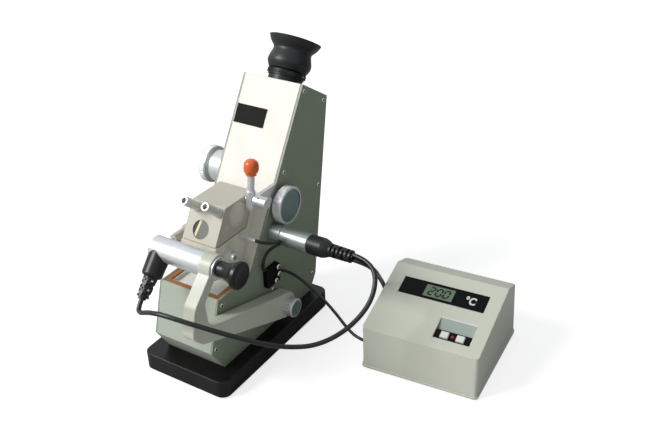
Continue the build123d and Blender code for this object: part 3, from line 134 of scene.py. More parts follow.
# %% The route of each lead, in millimetres
BOOT_END = 119.0
LAMP_EXIT_Y, LAMP_EXIT_Z = 19.0, 116.0
BESIDE = 2.4
LINK = [(BOOT_END - 2, LAMP_EXIT_Y, LAMP_EXIT_Z + BESIDE), (130, LAMP_EXIT_Y, LAMP_EXIT_Z + BESIDE),
        (146, 12, 112), (151, -6, 95), (141, -28, 77.5), (124, -50, 68.5), (106, -70, 73),
        (89, -89, 84.5), (66, -108, 99), (41, -119.5, 107.5), (21, -123, 109.5), (4.5, -121.5, 104.5),
        (-8, -117.5, 96.5), (-13.5, -114.18, 97.32), (-13.5, -106.76, 104.74)]
LIES = LEAD_D / 2 + 0.1
COIL_X, COIL_Y, COIL_R = 172.0, 165.6, 29.5
COIL_HALVES, COIL_TOP, COIL_STEP, COIL_RISE = 7, 5, 2.45, 4.75
SUPPLY = [(BOOT_END - 2, LAMP_EXIT_Y, LAMP_EXIT_Z - BESIDE), (129, LAMP_EXIT_Y, LAMP_EXIT_Z - BESIDE),
          (133, 30, 102), (126, 50, 81), (118, 73, 57), (110, 94, 31), (106, 113, 10.5),
          (108, 129, LIES), (122, 137.5, LIES), (143, 135.4, LIES), (COIL_X - LEAD_D, COIL_Y - COIL_R, LIES)]
PROBE = [(35.25, -11.7, 124.4), (40.75, -11.7, 124.4), (47, -2, 119.6), (52.5, 4.5, 120.8),
         (49.5, 8, 115.5), (43, 5, 111), (37.5, 1.5, 105), (36.2, -2.8, 97), (34.55, -1.8, 86.4),
         (34.55, 6.0, 82.3), (34.55, 18.2, 75.9), (34.55, 26.0, 71.8), (38.5, 35, 65), (48, 41, 55.5),
         (63, 43.5, 44), (82, 41, 32.5), (102, 34.5, 21.5), (115, 31.6, 18), (128.5, 31, 18)]

# %% [markdown]
# The supply lead is longer than the picture shows, so the rest is wound into a neat coil
# behind the thermometer: half turns inwards on the bench, a half turn that climbs, and
# half turns outwards on top of them. Every half turn is a little smaller than the last.

# %% The coil's turns
PER_HALF = 8
LEAD_OUT = ((-22, -8.5, 0.98), (-34, -28, 0.75), (-38, -38, 0.6))
INTO_PLUG = [(129.5, 151.0, 4.6), (124.0, 151.0, 4.6)]


def half_turn(radius, y, way, low, high):
    """Control points of a half circle that starts at height y on the coil's axis line."""
    spots = []
    for k in range(1, PER_HALF + 1):
        angle = pi * k / PER_HALF
        share = (1 - cos(angle)) / 2
        spots.append((COIL_X + way * radius * sin(angle), COIL_Y + y + 2 * way * radius * share,
                      LIES + COIL_RISE * (low + (high - low) * share)))
    return spots


def coil_route():
    inwards = [COIL_R - COIL_STEP * k for k in range(COIL_HALVES)]
    outwards = inwards[:COIL_HALVES - COIL_TOP - 1:-1]
    halves = [(r, 0, 0) for r in inwards] + [(COIL_R - COIL_STEP * COIL_HALVES, 0, 1)]
    halves += [(r, 1, 1) for r in outwards]
    route, y, way = [(COIL_X, COIL_Y - COIL_R, LIES)], -COIL_R, 1
    for radius, low, high in halves:
        route += half_turn(radius, y, way, low, high)
        y += 2 * way * radius
        way = -way
    for across, along, level in LEAD_OUT:
        route.append((COIL_X + across, COIL_Y + y + along, LIES + COIL_RISE * level))
    return route + INTO_PLUG


link, link_path = lay_cord("link_cord", LINK, LEAD_D)
supply, supply_path = lay_cord("supply_cord", SUPPLY + coil_route(), LEAD_D)
probe, probe_path = lay_cord("probe_cord", PROBE, PROBE_D)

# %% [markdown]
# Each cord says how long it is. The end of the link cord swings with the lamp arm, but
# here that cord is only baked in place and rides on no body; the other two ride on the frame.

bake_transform(link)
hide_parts("link_cable")
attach(supply, "frame")
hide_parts("supply_cable", "supply_coil")
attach(probe, "frame")
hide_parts("probe_cable")

# %% [markdown]
# ## Light and floor
# A plain studio: a broad soft key light from the front left, a weak fill from the right
# and an even pale sky. The picture's background is pure white, so the world and the floor
# show white to the camera, while only soft light reaches the object.

# %% World
world = bpy.data.worlds.new("studio")
bpy.context.scene.world = world
world.use_nodes = True
tree = world.node_tree
tree.nodes.clear()


def put(tree, kind, inputs=None, **settings):
    """Add a node. inputs gives values, or sockets to link, by name or number."""
    made = tree.nodes.new(kind)
    for key, value in settings.items():
        setattr(made, key, value)
    for key, value in (inputs or {}).items():
        if isinstance(value, bpy.types.NodeSocket):
            tree.links.new(value, made.inputs[key])
        else:
            made.inputs[key].default_value = value
    return made


SKY_LOW, SKY_HIGH = 0.07, 0.46
MIRROR_LOW, MIRROR_HIGH = 0.25, 1.0
LIT_FROM = (-0.62, -0.30, 0.72)
seen = put(tree, "ShaderNodeLightPath")
mirrored = put(tree, "ShaderNodeMath", {0: seen.outputs["Is Glossy Ray"],
                                        1: seen.outputs["Is Transmission Ray"]}, operation="MAXIMUM")
direction = put(tree, "ShaderNodeTexCoord").outputs["Generated"]
towards = put(tree, "ShaderNodeVectorMath", {0: direction, 1: LIT_FROM}, operation="DOT_PRODUCT")
level = put(tree, "ShaderNodeMapRange", {"Value": towards.outputs["Value"], "From Min": -0.6,
                                         "From Max": 0.9, "To Min": SKY_LOW, "To Max": SKY_HIGH})
shine = put(tree, "ShaderNodeMapRange", {"Value": towards.outputs["Value"], "From Min": -0.5,
                                         "From Max": 0.5, "To Min": MIRROR_LOW, "To Max": MIRROR_HIGH})
soft = put(tree, "ShaderNodeBackground", {"Color": (0.96, 0.98, 1.0, 1), "Strength": level.outputs[0]})
bright = put(tree, "ShaderNodeBackground", {"Color": (0.93, 0.96, 1.0, 1), "Strength": shine.outputs[0]})
white = put(tree, "ShaderNodeBackground", {"Color": (1, 1, 1, 1), "Strength": 1.0})
glossy_mix = put(tree, "ShaderNodeMixShader",
                 {0: mirrored.outputs[0], 1: soft.outputs[0], 2: bright.outputs[0]})
camera_mix = put(tree, "ShaderNodeMixShader",
                 {0: seen.outputs["Is Camera Ray"], 1: glossy_mix.outputs[0], 2: white.outputs[0]})
put(tree, "ShaderNodeOutputWorld", {"Surface": camera_mix.outputs[0]})

# %% Lamps


def soft_lamp(name, place, target, size, power, colour):
    lamp = bpy.data.lights.new(name, "AREA")
    lamp.shape = "DISK"
    lamp.size = size
    lamp.energy = power
    lamp.color = colour
    held = bpy.data.objects.new(name, lamp)
    bpy.context.collection.objects.link(held)
    held.location = place
    held.rotation_euler = (Vector(target) - Vector(place)).to_track_quat("-Z", "Y").to_euler()


MIDDLE = (0.06, 0.0, 0.10)
soft_lamp("key", (-0.95, -1.15, 1.35), MIDDLE, 0.9, 29.0, (1.0, 0.985, 0.955))
soft_lamp("fill", (1.6, -0.6, 0.9), MIDDLE, 1.4, 1.2, (0.93, 0.97, 1.0))
print("sky", SKY_LOW, "to", SKY_HIGH)

# %% Floor
FLOOR, BELOW, LIFT = 3.0, 0.0003, 0.72
floor_mesh = bpy.data.meshes.new("floor")
floor_mesh.from_pydata([(-FLOOR, -FLOOR, 0), (FLOOR, -FLOOR, 0), (FLOOR, FLOOR, 0), (-FLOOR, FLOOR, 0)],
                       [], [(0, 1, 2, 3)])
floor = bpy.data.objects.new("floor", floor_mesh)
bpy.context.collection.objects.link(floor)
floor.location.z = -BELOW
paper = bpy.data.materials.new("white_paper")
paper.use_nodes = True
tree = paper.node_tree
tree.nodes.clear()
seen = put(tree, "ShaderNodeLightPath")
matt = put(tree, "ShaderNodeBsdfDiffuse", {"Color": (0.62, 0.62, 0.62, 1)})
lift = put(tree, "ShaderNodeMath", {0: seen.outputs["Is Camera Ray"], 1: LIFT}, operation="MULTIPLY")
glow = put(tree, "ShaderNodeEmission", {"Color": (1, 1, 1, 1), "Strength": lift.outputs[0]})
both = put(tree, "ShaderNodeAddShader", {0: matt.outputs[0], 1: glow.outputs[0]})
put(tree, "ShaderNodeOutputMaterial", {"Surface": both.outputs[0]})
floor_mesh.materials.append(paper)

bpy.context.scene.view_settings.view_transform = "Standard"

# %% [markdown]
# ## Shared effects
# Each effect that several finishes share is a node group made once: the fine orange peel
# of sprayed paint, the bright line along an edge that is partly wear and partly a painted
# highlight, the uneven shine that hands leave, the rings that a lathe cuts into turned metal,
# and a mask for the end face of a knob.

# %% Start of a group


def new_group(name, inputs, outputs):
    """An empty shader group. inputs is {name: default}, outputs is {name: socket kind}."""
    group = bpy.data.node_groups.new(name, "ShaderNodeTree")
    for socket, value in inputs.items():
        kind = "NodeSocketVector" if isinstance(value, tuple) else "NodeSocketFloat"
        group.interface.new_socket(socket, in_out="INPUT", socket_type=kind).default_value = value
    for socket, kind in outputs.items():
        group.interface.new_socket(socket, in_out="OUTPUT", socket_type=kind)
    return group, put(group, "NodeGroupInput").outputs


def leave(group, **results):
    """Link the group's results to its output sockets."""
    end = put(group, "NodeGroupOutput")
    for socket, value in results.items():
        group.links.new(value, end.inputs[socket])


def times(tree, a, b, operation="MULTIPLY", clamp=False):
    return put(tree, "ShaderNodeMath", {0: a, 1: b}, operation=operation, use_clamp=clamp).outputs[0]


# %% Orange peel
peel, given = new_group("orange_peel", {"Grain": 900.0, "Blotch": 14.0},
                        {"Height": "NodeSocketFloat", "Tone": "NodeSocketFloat"})
place = put(peel, "ShaderNodeTexCoord").outputs["Object"]
fine = put(peel, "ShaderNodeTexNoise", {"Vector": place, "Scale": given["Grain"], "Detail": 2.0})
broad = put(peel, "ShaderNodeTexNoise", {"Vector": place, "Scale": given["Blotch"], "Detail": 3.0})
leave(peel, Height=fine.outputs["Fac"], Tone=broad.outputs["Fac"])

# %% Edges, partly worn and partly a painted highlight
wear_highlight_group, given = new_group("edge_wear_and_highlight", {"Width": 0.0012, "Break": 260.0}, {"Mask": "NodeSocketFloat"})
# The mask lightens edges: partly wear, partly a painted highlight along them.
rounded = put(wear_highlight_group, "ShaderNodeBevel", {"Radius": given["Width"]}, samples=4)
flat = put(wear_highlight_group, "ShaderNodeNewGeometry").outputs["Normal"]
along = put(wear_highlight_group, "ShaderNodeVectorMath", {0: rounded.outputs[0], 1: flat}, operation="DOT_PRODUCT")
away = put(wear_highlight_group, "ShaderNodeMapRange", {"Value": along.outputs["Value"], "From Min": 0.985, "From Max": 0.90,
                                         "To Min": 0.0, "To Max": 1.0})
place = put(wear_highlight_group, "ShaderNodeTexCoord").outputs["Object"]
chips = put(wear_highlight_group, "ShaderNodeTexNoise", {"Vector": place, "Scale": given["Break"], "Detail": 4.0})
gate = put(wear_highlight_group, "ShaderNodeMapRange", {"Value": chips.outputs["Fac"], "From Min": 0.42, "From Max": 0.66})
leave(wear_highlight_group, Mask=times(wear_highlight_group, away.outputs[0], gate.outputs[0]))

# %% Handling: smudges and dust
handled, given = new_group("handled", {"Scale": 22.0},
                           {"Smudge": "NodeSocketFloat", "Dust": "NodeSocketFloat"})
place = put(handled, "ShaderNodeTexCoord").outputs["Object"]
cloud = put(handled, "ShaderNodeTexNoise", {"Vector": place, "Scale": given["Scale"], "Detail": 5.0,
                                            "Distortion": 0.6})
smudge = put(handled, "ShaderNodeMapRange",
             {"Value": cloud.outputs["Fac"], "From Min": 0.35, "From Max": 0.7})
faces = put(handled, "ShaderNodeSeparateXYZ", {0: put(handled, "ShaderNodeNewGeometry").outputs["Normal"]})
level = put(handled, "ShaderNodeMapRange", {"Value": faces.outputs["Z"], "From Min": 0.55, "From Max": 1.0})
specks = put(handled, "ShaderNodeTexNoise", {"Vector": place, "Scale": 1400.0, "Detail": 2.0})
sparse = put(handled, "ShaderNodeMapRange",
             {"Value": specks.outputs["Fac"], "From Min": 0.56, "From Max": 0.72})
leave(handled, Smudge=smudge.outputs[0], Dust=times(handled, level.outputs[0], sparse.outputs[0]))

# %% Lathe rings
lathe, given = new_group("lathe_rings",
                         {"Centre": (0.0, 0.0, 0.0), "Turn": (0.0, 0.0, 0.0), "Fineness": 5200.0},
                         {"Height": "NodeSocketFloat", "Tone": "NodeSocketFloat"})
place = put(lathe, "ShaderNodeTexCoord").outputs["Object"]
moved = put(lathe, "ShaderNodeVectorMath", {0: place, 1: given["Centre"]}, operation="SUBTRACT")
local = put(lathe, "ShaderNodeVectorRotate", {"Vector": moved.outputs[0], "Rotation": given["Turn"]},
            rotation_type="EULER_XYZ")
part = put(lathe, "ShaderNodeSeparateXYZ", {0: local.outputs[0]})
flat_part = put(lathe, "ShaderNodeCombineXYZ", {0: part.outputs[0], 1: part.outputs[1]})
radius = put(lathe, "ShaderNodeVectorMath", {0: flat_part.outputs[0]}, operation="LENGTH")
AXIS_SHARE = 0.83
depth = times(lathe, part.outputs[2], AXIS_SHARE)
reach = times(lathe, radius.outputs["Value"], depth, "ADD")
rings = put(lathe, "ShaderNodeTexNoise", {"W": reach, "Scale": given["Fineness"], "Detail": 2.0},
            noise_dimensions="1D")
bands = put(lathe, "ShaderNodeTexNoise", {"W": reach, "Scale": 420.0, "Detail": 3.0}, noise_dimensions="1D")
leave(lathe, Height=rings.outputs["Fac"], Tone=bands.outputs["Fac"])

# %% The end face of a knob that turns about X
end_face, given = new_group("end_face",
                            {"Centre": (0.0, 0.0, 0.0), "Out": 1.0, "Level": 0.04, "Radius": 0.015},
                            {"Mask": "NodeSocketFloat"})
place = put(end_face, "ShaderNodeTexCoord").outputs["Object"]
moved = put(end_face, "ShaderNodeVectorMath", {0: place, 1: given["Centre"]}, operation="SUBTRACT")
part = put(end_face, "ShaderNodeSeparateXYZ", {0: moved.outputs[0]})
flat_part = put(end_face, "ShaderNodeCombineXYZ", {1: part.outputs[1], 2: part.outputs[2]})
radius = put(end_face, "ShaderNodeVectorMath", {0: flat_part.outputs[0]}, operation="LENGTH")
near = times(end_face, radius.outputs["Value"], given["Radius"], "LESS_THAN")
outside = times(end_face, times(end_face, part.outputs[0], given["Out"]), given["Level"], "GREATER_THAN")
leave(end_face, Mask=times(end_face, near, outside))
print("shared effects:", len(bpy.data.node_groups))

# %% [markdown]
# ## Finishes
# Each finish starts from a colour written as the 0 to 255 values of a picture and turned
# into light. The groups then vary it: blotches a few centimetres wide, a grain under a
# millimetre, bright edges that are partly worn and partly a painted highlight, and patches
# of different shine.

# %% Helpers for finishes


def light(*parts):
    """Linear colour from 0 to 255 display values."""
    out = []
    for part in parts:
        c = part / 255
        out.append(c / 12.92 if c <= 0.04045 else ((c + 0.055) / 1.055) ** 2.4)
    return (*out, 1.0)


def use(tree, group, **values):
    """Place a shared group in a material and return its outputs."""
    made = put(tree, "ShaderNodeGroup", node_tree=group)
    for socket, value in values.items():
        made.inputs[socket].default_value = value
    return made.outputs


def blend_colour(tree, factor, first, second):
    made = put(tree, "ShaderNodeMix", {0: factor}, data_type="RGBA")
    for number, colour in ((6, first), (7, second)):
        if isinstance(colour, tuple):
            made.inputs[number].default_value = colour
        else:
            tree.links.new(colour, made.inputs[number])
    return made.outputs[2]


def spread(tree, factor, low, high):
    return put(tree, "ShaderNodeMapRange", {"Value": factor, "To Min": low, "To Max": high}).outputs[0]


def new_material(name):
    material = bpy.data.materials.new(name)
    material.use_nodes = True
    tree = material.node_tree
    tree.nodes.clear()
    shader = put(tree, "ShaderNodeBsdfPrincipled")
    put(tree, "ShaderNodeOutputMaterial", {"Surface": shader.outputs[0]})
    return material, tree, shader


def bump(tree, shader, height, strength, distance, round_by=0.0004):
    """Feed a height to the shader's normal, over edges that the bevel node rounds."""
    soft = put(tree, "ShaderNodeBevel", {"Radius": round_by}, samples=4)
    made = put(tree, "ShaderNodeBump", {"Height": height, "Strength": strength, "Distance": distance,
                                        "Normal": soft.outputs[0]})
    tree.links.new(made.outputs[0], shader.inputs["Normal"])


DUST_GREY = light(178, 174, 166)


def sprayed(name, colour, wear_and_highlight_colour, rough=(0.36, 0.5), grain=900.0, depth=0.00004, tone=0.08, wear_and_highlight=0.5,
            coat=0.0, shine=0.5, dust=0.25, round_by=0.0004):
    """Sprayed or moulded finish: orange peel, blotches, edges partly worn and partly a painted highlight,
    smudges and dust.
    """
    material, tree, shader = new_material(name)
    skin = use(tree, peel, Grain=grain)
    edge = use(tree, wear_highlight_group)
    touch = use(tree, handled)
    dim = tuple(c * (1 - tone) for c in colour[:3]) + (1.0,)
    base = blend_colour(tree, skin["Tone"], colour, dim)
    dusty = blend_colour(tree, times(tree, touch["Dust"], dust), base, DUST_GREY)
    # Edges take the lighter edge colour, partly wear and partly a painted highlight.
    rubbed_and_highlit = blend_colour(tree, times(tree, edge["Mask"], wear_and_highlight), dusty, wear_and_highlight_colour)
    tree.links.new(rubbed_and_highlit, shader.inputs["Base Color"])
    tree.links.new(spread(tree, touch["Smudge"], *rough), shader.inputs["Roughness"])
    shader.inputs["Coat Weight"].default_value = coat
    shader.inputs["Specular IOR Level"].default_value = shine
    bump(tree, shader, skin["Height"], 0.6, depth, round_by)
    return material


def turned_metal(name, colour, centre=(0, 0, 0), turn=(0, 0, 0), rough=(0.2, 0.34), metallic=1.0,
                 fineness=5200.0, depth=0.000012, contrast=0.16):
    """Machined metal with fine rings about its own axis."""
    material, tree, shader = new_material(name)
    marks = use(tree, lathe, Centre=centre, Turn=turn, Fineness=fineness)
    touch = use(tree, handled, Scale=60.0)
    dim = tuple(c * (1 - contrast) for c in colour[:3]) + (1.0,)
    tree.links.new(blend_colour(tree, marks["Tone"], colour, dim), shader.inputs["Base Color"])
    tree.links.new(spread(tree, touch["Smudge"], *rough), shader.inputs["Roughness"])
    shader.inputs["Metallic"].default_value = metallic
    bump(tree, shader, marks["Height"], 0.7, depth)
    return material


ALONG_X = (0.0, -pi / 2, 0.0)
FACE_GREY, FACE_ROUGH = light(122, 142, 142), 0.16


def faced_metal(name, place, reach, level, radius):
    """Turned metal whose end face, inside a rim of this radius, is dark and mirror-like."""
    material = turned_metal(name, light(226, 229, 230), centre=place, turn=ALONG_X, rough=(0.3, 0.42),
                            metallic=0.75)
    tree = material.node_tree
    shader = next(node for node in tree.nodes if node.type == "BSDF_PRINCIPLED")
    inside = use(tree, end_face, Centre=place, Out=reach, Level=level, Radius=radius)["Mask"]
    colour = shader.inputs["Base Color"].links[0].from_socket
    tree.links.new(blend_colour(tree, inside, colour, FACE_GREY), shader.inputs["Base Color"])
    rough = shader.inputs["Roughness"].links[0].from_socket
    soft = put(tree, "ShaderNodeMix", {0: inside, 2: rough, 3: FACE_ROUGH}, data_type="FLOAT")
    tree.links.new(soft.outputs[0], shader.inputs["Roughness"])
    return material


def clear(name, colour, roughness=0.02, ior=1.5, tint=None):
    """Glass. Faint smears change its shine; its light-bending is set on the shader."""
    material, tree, shader = new_material(name)
    touch = use(tree, handled, Scale=90.0)
    tree.links.new(blend_colour(tree, touch["Smudge"], colour, tint or colour), shader.inputs["Base Color"])
    tree.links.new(spread(tree, touch["Smudge"], roughness, roughness + 0.06), shader.inputs["Roughness"])
    shader.inputs["Transmission Weight"].default_value = 1.0
    shader.inputs["IOR"].default_value = ior
    return material


# %% Paints, plastics and rubbers
SLANT = radians(32.5)

finish = {
    "black_paint": sprayed("black_slab_paint", light(8, 8, 9), light(70, 72, 74), rough=(0.34, 0.5),
                           grain=700.0, depth=0.00005, tone=0.3, wear_and_highlight=0.3, shine=0.3, dust=0.04,
                           round_by=0.001),
    "rubber": sprayed("black_rubber", light(10, 13, 14), light(40, 44, 46), rough=(0.36, 0.5), grain=1700.0,
                      depth=0.00002, tone=0.25, wear_and_highlight=0.4, shine=0.5, dust=0.04),
    "casting_paint": sprayed("casting_paint", light(182, 191, 178), light(238, 238, 232), rough=(0.4, 0.55),
                             grain=1100.0, depth=0.00007, tone=0.10, wear_and_highlight=0.5, round_by=0.0008),
    "panel_paint": sprayed("panel_paint", light(236, 235, 226), light(247, 246, 240), rough=(0.34, 0.46),
                           grain=820.0, depth=0.00003, tone=0.05, wear_and_highlight=0.3, round_by=0.0006),
    # The covers' grey-green is darker than the panel's cream: partly their own paint, partly painted shade
    # of the side turned from the key.
    "cover_paint": sprayed("cover_paint", light(146, 159, 138), light(226, 226, 214), rough=(0.34, 0.5),
                           grain=820.0, depth=0.00004, tone=0.14, wear_and_highlight=0.8),
    "arm_paint": sprayed("arm_paint", light(206, 211, 196), light(240, 240, 234), rough=(0.34, 0.5),
                         grain=820.0, depth=0.00004, tone=0.08, wear_and_highlight=0.6, round_by=0.0008),
    "alloy": turned_metal("alloy", light(188, 190, 192), rough=(0.3, 0.45)),
    "screw_steel": turned_metal("screw_steel", light(226, 226, 222), turn=ALONG_X, rough=(0.16, 0.3)),
    "black_plate": sprayed("black_plate", light(5, 5, 6), light(40, 40, 42), rough=(0.5, 0.62), grain=2400.0,
                           depth=0.00001, tone=0.2, wear_and_highlight=0.15, shine=0.12, dust=0.01),
    "tray_plastic": sprayed("tray_plastic", light(222, 224, 222), light(240, 240, 238), rough=(0.2, 0.34),
                            grain=1500.0, depth=0.00001, tone=0.05, wear_and_highlight=0.2),
    "gasket_rubber": sprayed("gasket_rubber", light(164, 106, 50), light(205, 150, 92), rough=(0.42, 0.6),
                             grain=1600.0, depth=0.00003, tone=0.34, wear_and_highlight=0.35),
    "box_metal": sprayed("box_paint", light(206, 203, 190), light(236, 231, 220), rough=(0.34, 0.48),
                         grain=1300.0, depth=0.00005, tone=0.12, wear_and_highlight=0.8, round_by=0.0006),
    # The block paint is near white: partly the block's own cream, partly painted light on its faces turned
    # from the key.
    "block_paint": sprayed("block_paint", light(240, 236, 220), light(246, 242, 230), rough=(0.34, 0.48),
                           grain=1300.0, depth=0.00005, tone=0.12, wear_and_highlight=0.6, round_by=0.0006),
    "nipple_steel": turned_metal("nipple_steel", light(228, 230, 226), rough=(0.28, 0.4), fineness=3800.0,
                                 metallic=0.3),
    "lamp_tube": turned_metal("lamp_tube", light(168, 178, 175), rough=(0.32, 0.42), metallic=0.75),
    "satin_silver": turned_metal("satin_silver", light(226, 229, 230), turn=ALONG_X, rough=(0.32, 0.42),
                                 metallic=0.75),
    "orange_plastic": sprayed("orange_ball", light(244, 106, 26), light(240, 150, 90), rough=(0.14, 0.26),
                              grain=600.0, depth=0.00001, tone=0.2, wear_and_highlight=0.0, coat=0.4, dust=0.02),
    "black_metal": turned_metal("black_anodised", light(20, 23, 25), turn=(SLANT, 0.0, 0.0),
                                rough=(0.34, 0.46), metallic=0.35, contrast=0.3),
    "black_plastic": sprayed("black_plastic", light(12, 14, 16), light(58, 62, 64), rough=(0.30, 0.44),
                             grain=2000.0, depth=0.00002, tone=0.2, wear_and_highlight=0.05, shine=0.4, dust=0.03),
    "cord_black": sprayed("cord_rubber", light(10, 11, 12), light(40, 40, 41), rough=(0.28, 0.4),
                          grain=2600.0, depth=0.00001, tone=0.2, wear_and_highlight=0.0, dust=0.02),
    "case_plastic": sprayed("case_plastic", light(220, 224, 209), light(250, 250, 244), rough=(0.38, 0.5),
                            grain=1900.0, depth=0.00006, tone=0.05, wear_and_highlight=0.85, round_by=0.0014),
    "key_plastic": sprayed("key_plastic", light(248, 248, 245), light(252, 252, 250), rough=(0.3, 0.42),
                           grain=1500.0, depth=0.00001, tone=0.08, wear_and_highlight=0.2),
    "prism_glass": clear("prism_glass", (0.93, 0.96, 0.95, 1), ior=1.62, tint=(0.88, 0.93, 0.9, 1)),
    "lcd_glass": sprayed("lcd_green", light(112, 136, 108), light(112, 136, 108), rough=(0.2, 0.3),
                         grain=3000.0, depth=0.000004, tone=0.25, wear_and_highlight=0.0, dust=0.0),
    "window_plastic": sprayed("window_black", light(2, 3, 3), light(20, 22, 22), rough=(0.1, 0.2),
                              grain=3000.0, depth=0.000002, tone=0.2, wear_and_highlight=0.0, shine=0.1, dust=0.0),
}
print("finishes:", len(finish))

# %% Give each CAD node the finish of its slot
slot_of = {row["node"]: row["material_slot"] for row in frame["record"]["subparts"]}
# The box's side plate takes the lighter block paint as painted light on that side, and the covers' darker
# paint is partly painted shade.
OWN_PAINT = {"right_cover": "cover_paint", "left_cover": "cover_paint", "rear_cover": "cover_paint",
             "light_arm": "arm_paint", "main_prism_block": "block_paint", "box_side_plate": "block_paint",
             "switch_bezel": "black_plate", "scale_lamp_tube": "lamp_tube"}
for name, piece in nodes.items():
    for holder in piece.material_slots:
        holder.material = finish[OWN_PAINT.get(name, slot_of[name])]
for piece in (link, supply, probe):
    piece.data.materials.clear()
    piece.data.materials.append(finish["cord_black"])
KNOB_FACES = {"measuring_knob": ((0, 0.0339, 0.1397), 1.0, 0.042, 0.0155),
              "pivot_knob": ((0, 0.016, 0.0415), 1.0, 0.055, 0.0078),
              "compensator_knob": ((0, 0.0472, 0.1526), -1.0, 0.0575, 0.0160)}
for name, (centre, way, level, radius) in KNOB_FACES.items():
    for holder in nodes[name].material_slots:
        holder.material = faced_metal(name + "_metal", centre, way, level, radius)

# %% [markdown]
# ## Small pieces on the instrument
# What follows is too fine for the CAD model or only printed on it. Each piece is a mesh
# made where it belongs, in millimetres, and then rides on the body that carries it.

# %% Make a piece from a mesh in progress


def finish_piece(name, work, body, slot, *materials):
    """Turn a bmesh in millimetres into an object that rides on a body."""
    bmesh.ops.scale(work, vec=(MM, MM, MM), verts=work.verts)
    bmesh.ops.recalc_face_normals(work, faces=work.faces)
    mesh = bpy.data.meshes.new(name)
    work.to_mesh(mesh)
    work.free()
    for material in materials:
        mesh.materials.append(material)
    piece = bpy.data.objects.new(name, mesh)
    bpy.context.collection.objects.link(piece)
    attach(piece, body)
    return piece


def add_prism(work, place, outline, low, high):
    """A plate with this outline in the place's own X and Y, from low to high."""
    rings = [[work.verts.new(place @ Vector((x, y, z))) for x, y in outline] for z in (low, high)]
    count = len(outline)
    work.faces.new(rings[0][::-1])
    work.faces.new(rings[1])
    for k in range(count):
        n = (k + 1) % count
        work.faces.new((rings[0][k], rings[0][n], rings[1][n], rings[1][k]))


def round_outline(x, y, radius, count):
    turns = [2 * pi * k / count for k in range(count)]
    return [(x + radius * cos(a), y + radius * sin(a)) for a in turns]


def ring_surface(work, place, profile, count=48):
    """A closed ring turned about the place's Z from (radius, height) points."""
    rows = []
    for k in range(count):
        a = 2 * pi * k / count
        rows.append([work.verts.new(place @ Vector((r * cos(a), r * sin(a), z))) for r, z in profile])
    size = len(profile)
    for k in range(count):
        one, two = rows[k], rows[(k + 1) % count]
        for i in range(size):
            j = (i + 1) % size
            face = work.faces.new((one[i], one[j], two[j], two[i]))
            face.smooth = True


# %% [markdown]
# The screws repeat, so one Geometry Nodes tree makes them all: it puts a pan head on every
# point, with a dark disc at its top as painted shade for the recess. The points are read from
# the CAD model's own screws, and an attribute says which way each head looks.

# %% Where the screws are
SEAT = 0.0007


def loose_parts(piece):
    """Corners of each separate solid of a CAD node, in metres."""
    work = bmesh.new()
    work.from_mesh(piece.data)
    bmesh.ops.remove_doubles(work, verts=work.verts, dist=1e-6)
    left, parts = set(work.verts), []
    while left:
        heap, part = [left.pop()], []
        while heap:
            vert = heap.pop()
            part.append(vert.co.copy())
            for edge in vert.link_edges:
                other = edge.other_vert(vert)
                if other in left:
                    left.remove(other)
                    heap.append(other)
        parts.append(part)
    work.free()
    return parts


heads = bpy.data.meshes.new("cover_screw_places")
spots = []
for part in loose_parts(nodes["cover_screws"]):
    low = [min(c[axis] for c in part) for axis in range(3)]
    high = [max(c[axis] for c in part) for axis in range(3)]
    side = 1 if low[0] > 0 else -1
    outer = high[0] if side > 0 else low[0]
    spots.append((outer - side * SEAT, (low[1] + high[1]) / 2, (low[2] + high[2]) / 2))
spots.sort()
heads.from_pydata(spots, [], [])
sides = [1.0 if spot[0] > 0 else -1.0 for spot in spots]
heads.attributes.new("side", "FLOAT", "POINT").data.foreach_set("value", sides)
print("screws:", len(spots))


# %% Geometry Nodes helpers
def new_tree(name, sizes):
    """An empty geometry tree with named size inputs."""
    tree = bpy.data.node_groups.new(name, "GeometryNodeTree")
    tree.interface.new_socket("Geometry", in_out="INPUT", socket_type="NodeSocketGeometry")
    for label, value in sizes.items():
        kind = "NodeSocketInt" if isinstance(value, int) else "NodeSocketFloat"
        if isinstance(value, tuple):
            kind = "NodeSocketVector"
        tree.interface.new_socket(label, in_out="INPUT", socket_type=kind).default_value = value
    tree.interface.new_socket("Geometry", in_out="OUTPUT", socket_type="NodeSocketGeometry")
    return tree, put(tree, "NodeGroupInput").outputs


def run_tree(name, mesh, tree, body, slot, **sizes):
    """Run a tree on a mesh with these sizes and keep the result as a plain mesh that rides."""
    holder = bpy.data.objects.new(name, mesh)
    bpy.context.collection.objects.link(holder)
    modifier = holder.modifiers.new(name, "NODES")
    modifier.node_group = tree
    for item in tree.interface.items_tree:
        if item.item_type == "SOCKET" and item.in_out == "INPUT" and item.name in sizes:
            modifier[item.identifier] = sizes[item.name]
    view = bpy.context.evaluated_depsgraph_get()
    view.update()
    made = bpy.data.meshes.new_from_object(holder.evaluated_get(view))
    made.name = name
    bpy.data.objects.remove(holder)
    piece = bpy.data.objects.new(name, made)
    bpy.context.collection.objects.link(piece)
    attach(piece, body)
    print(name, "faces", len(made.polygons))
    return piece


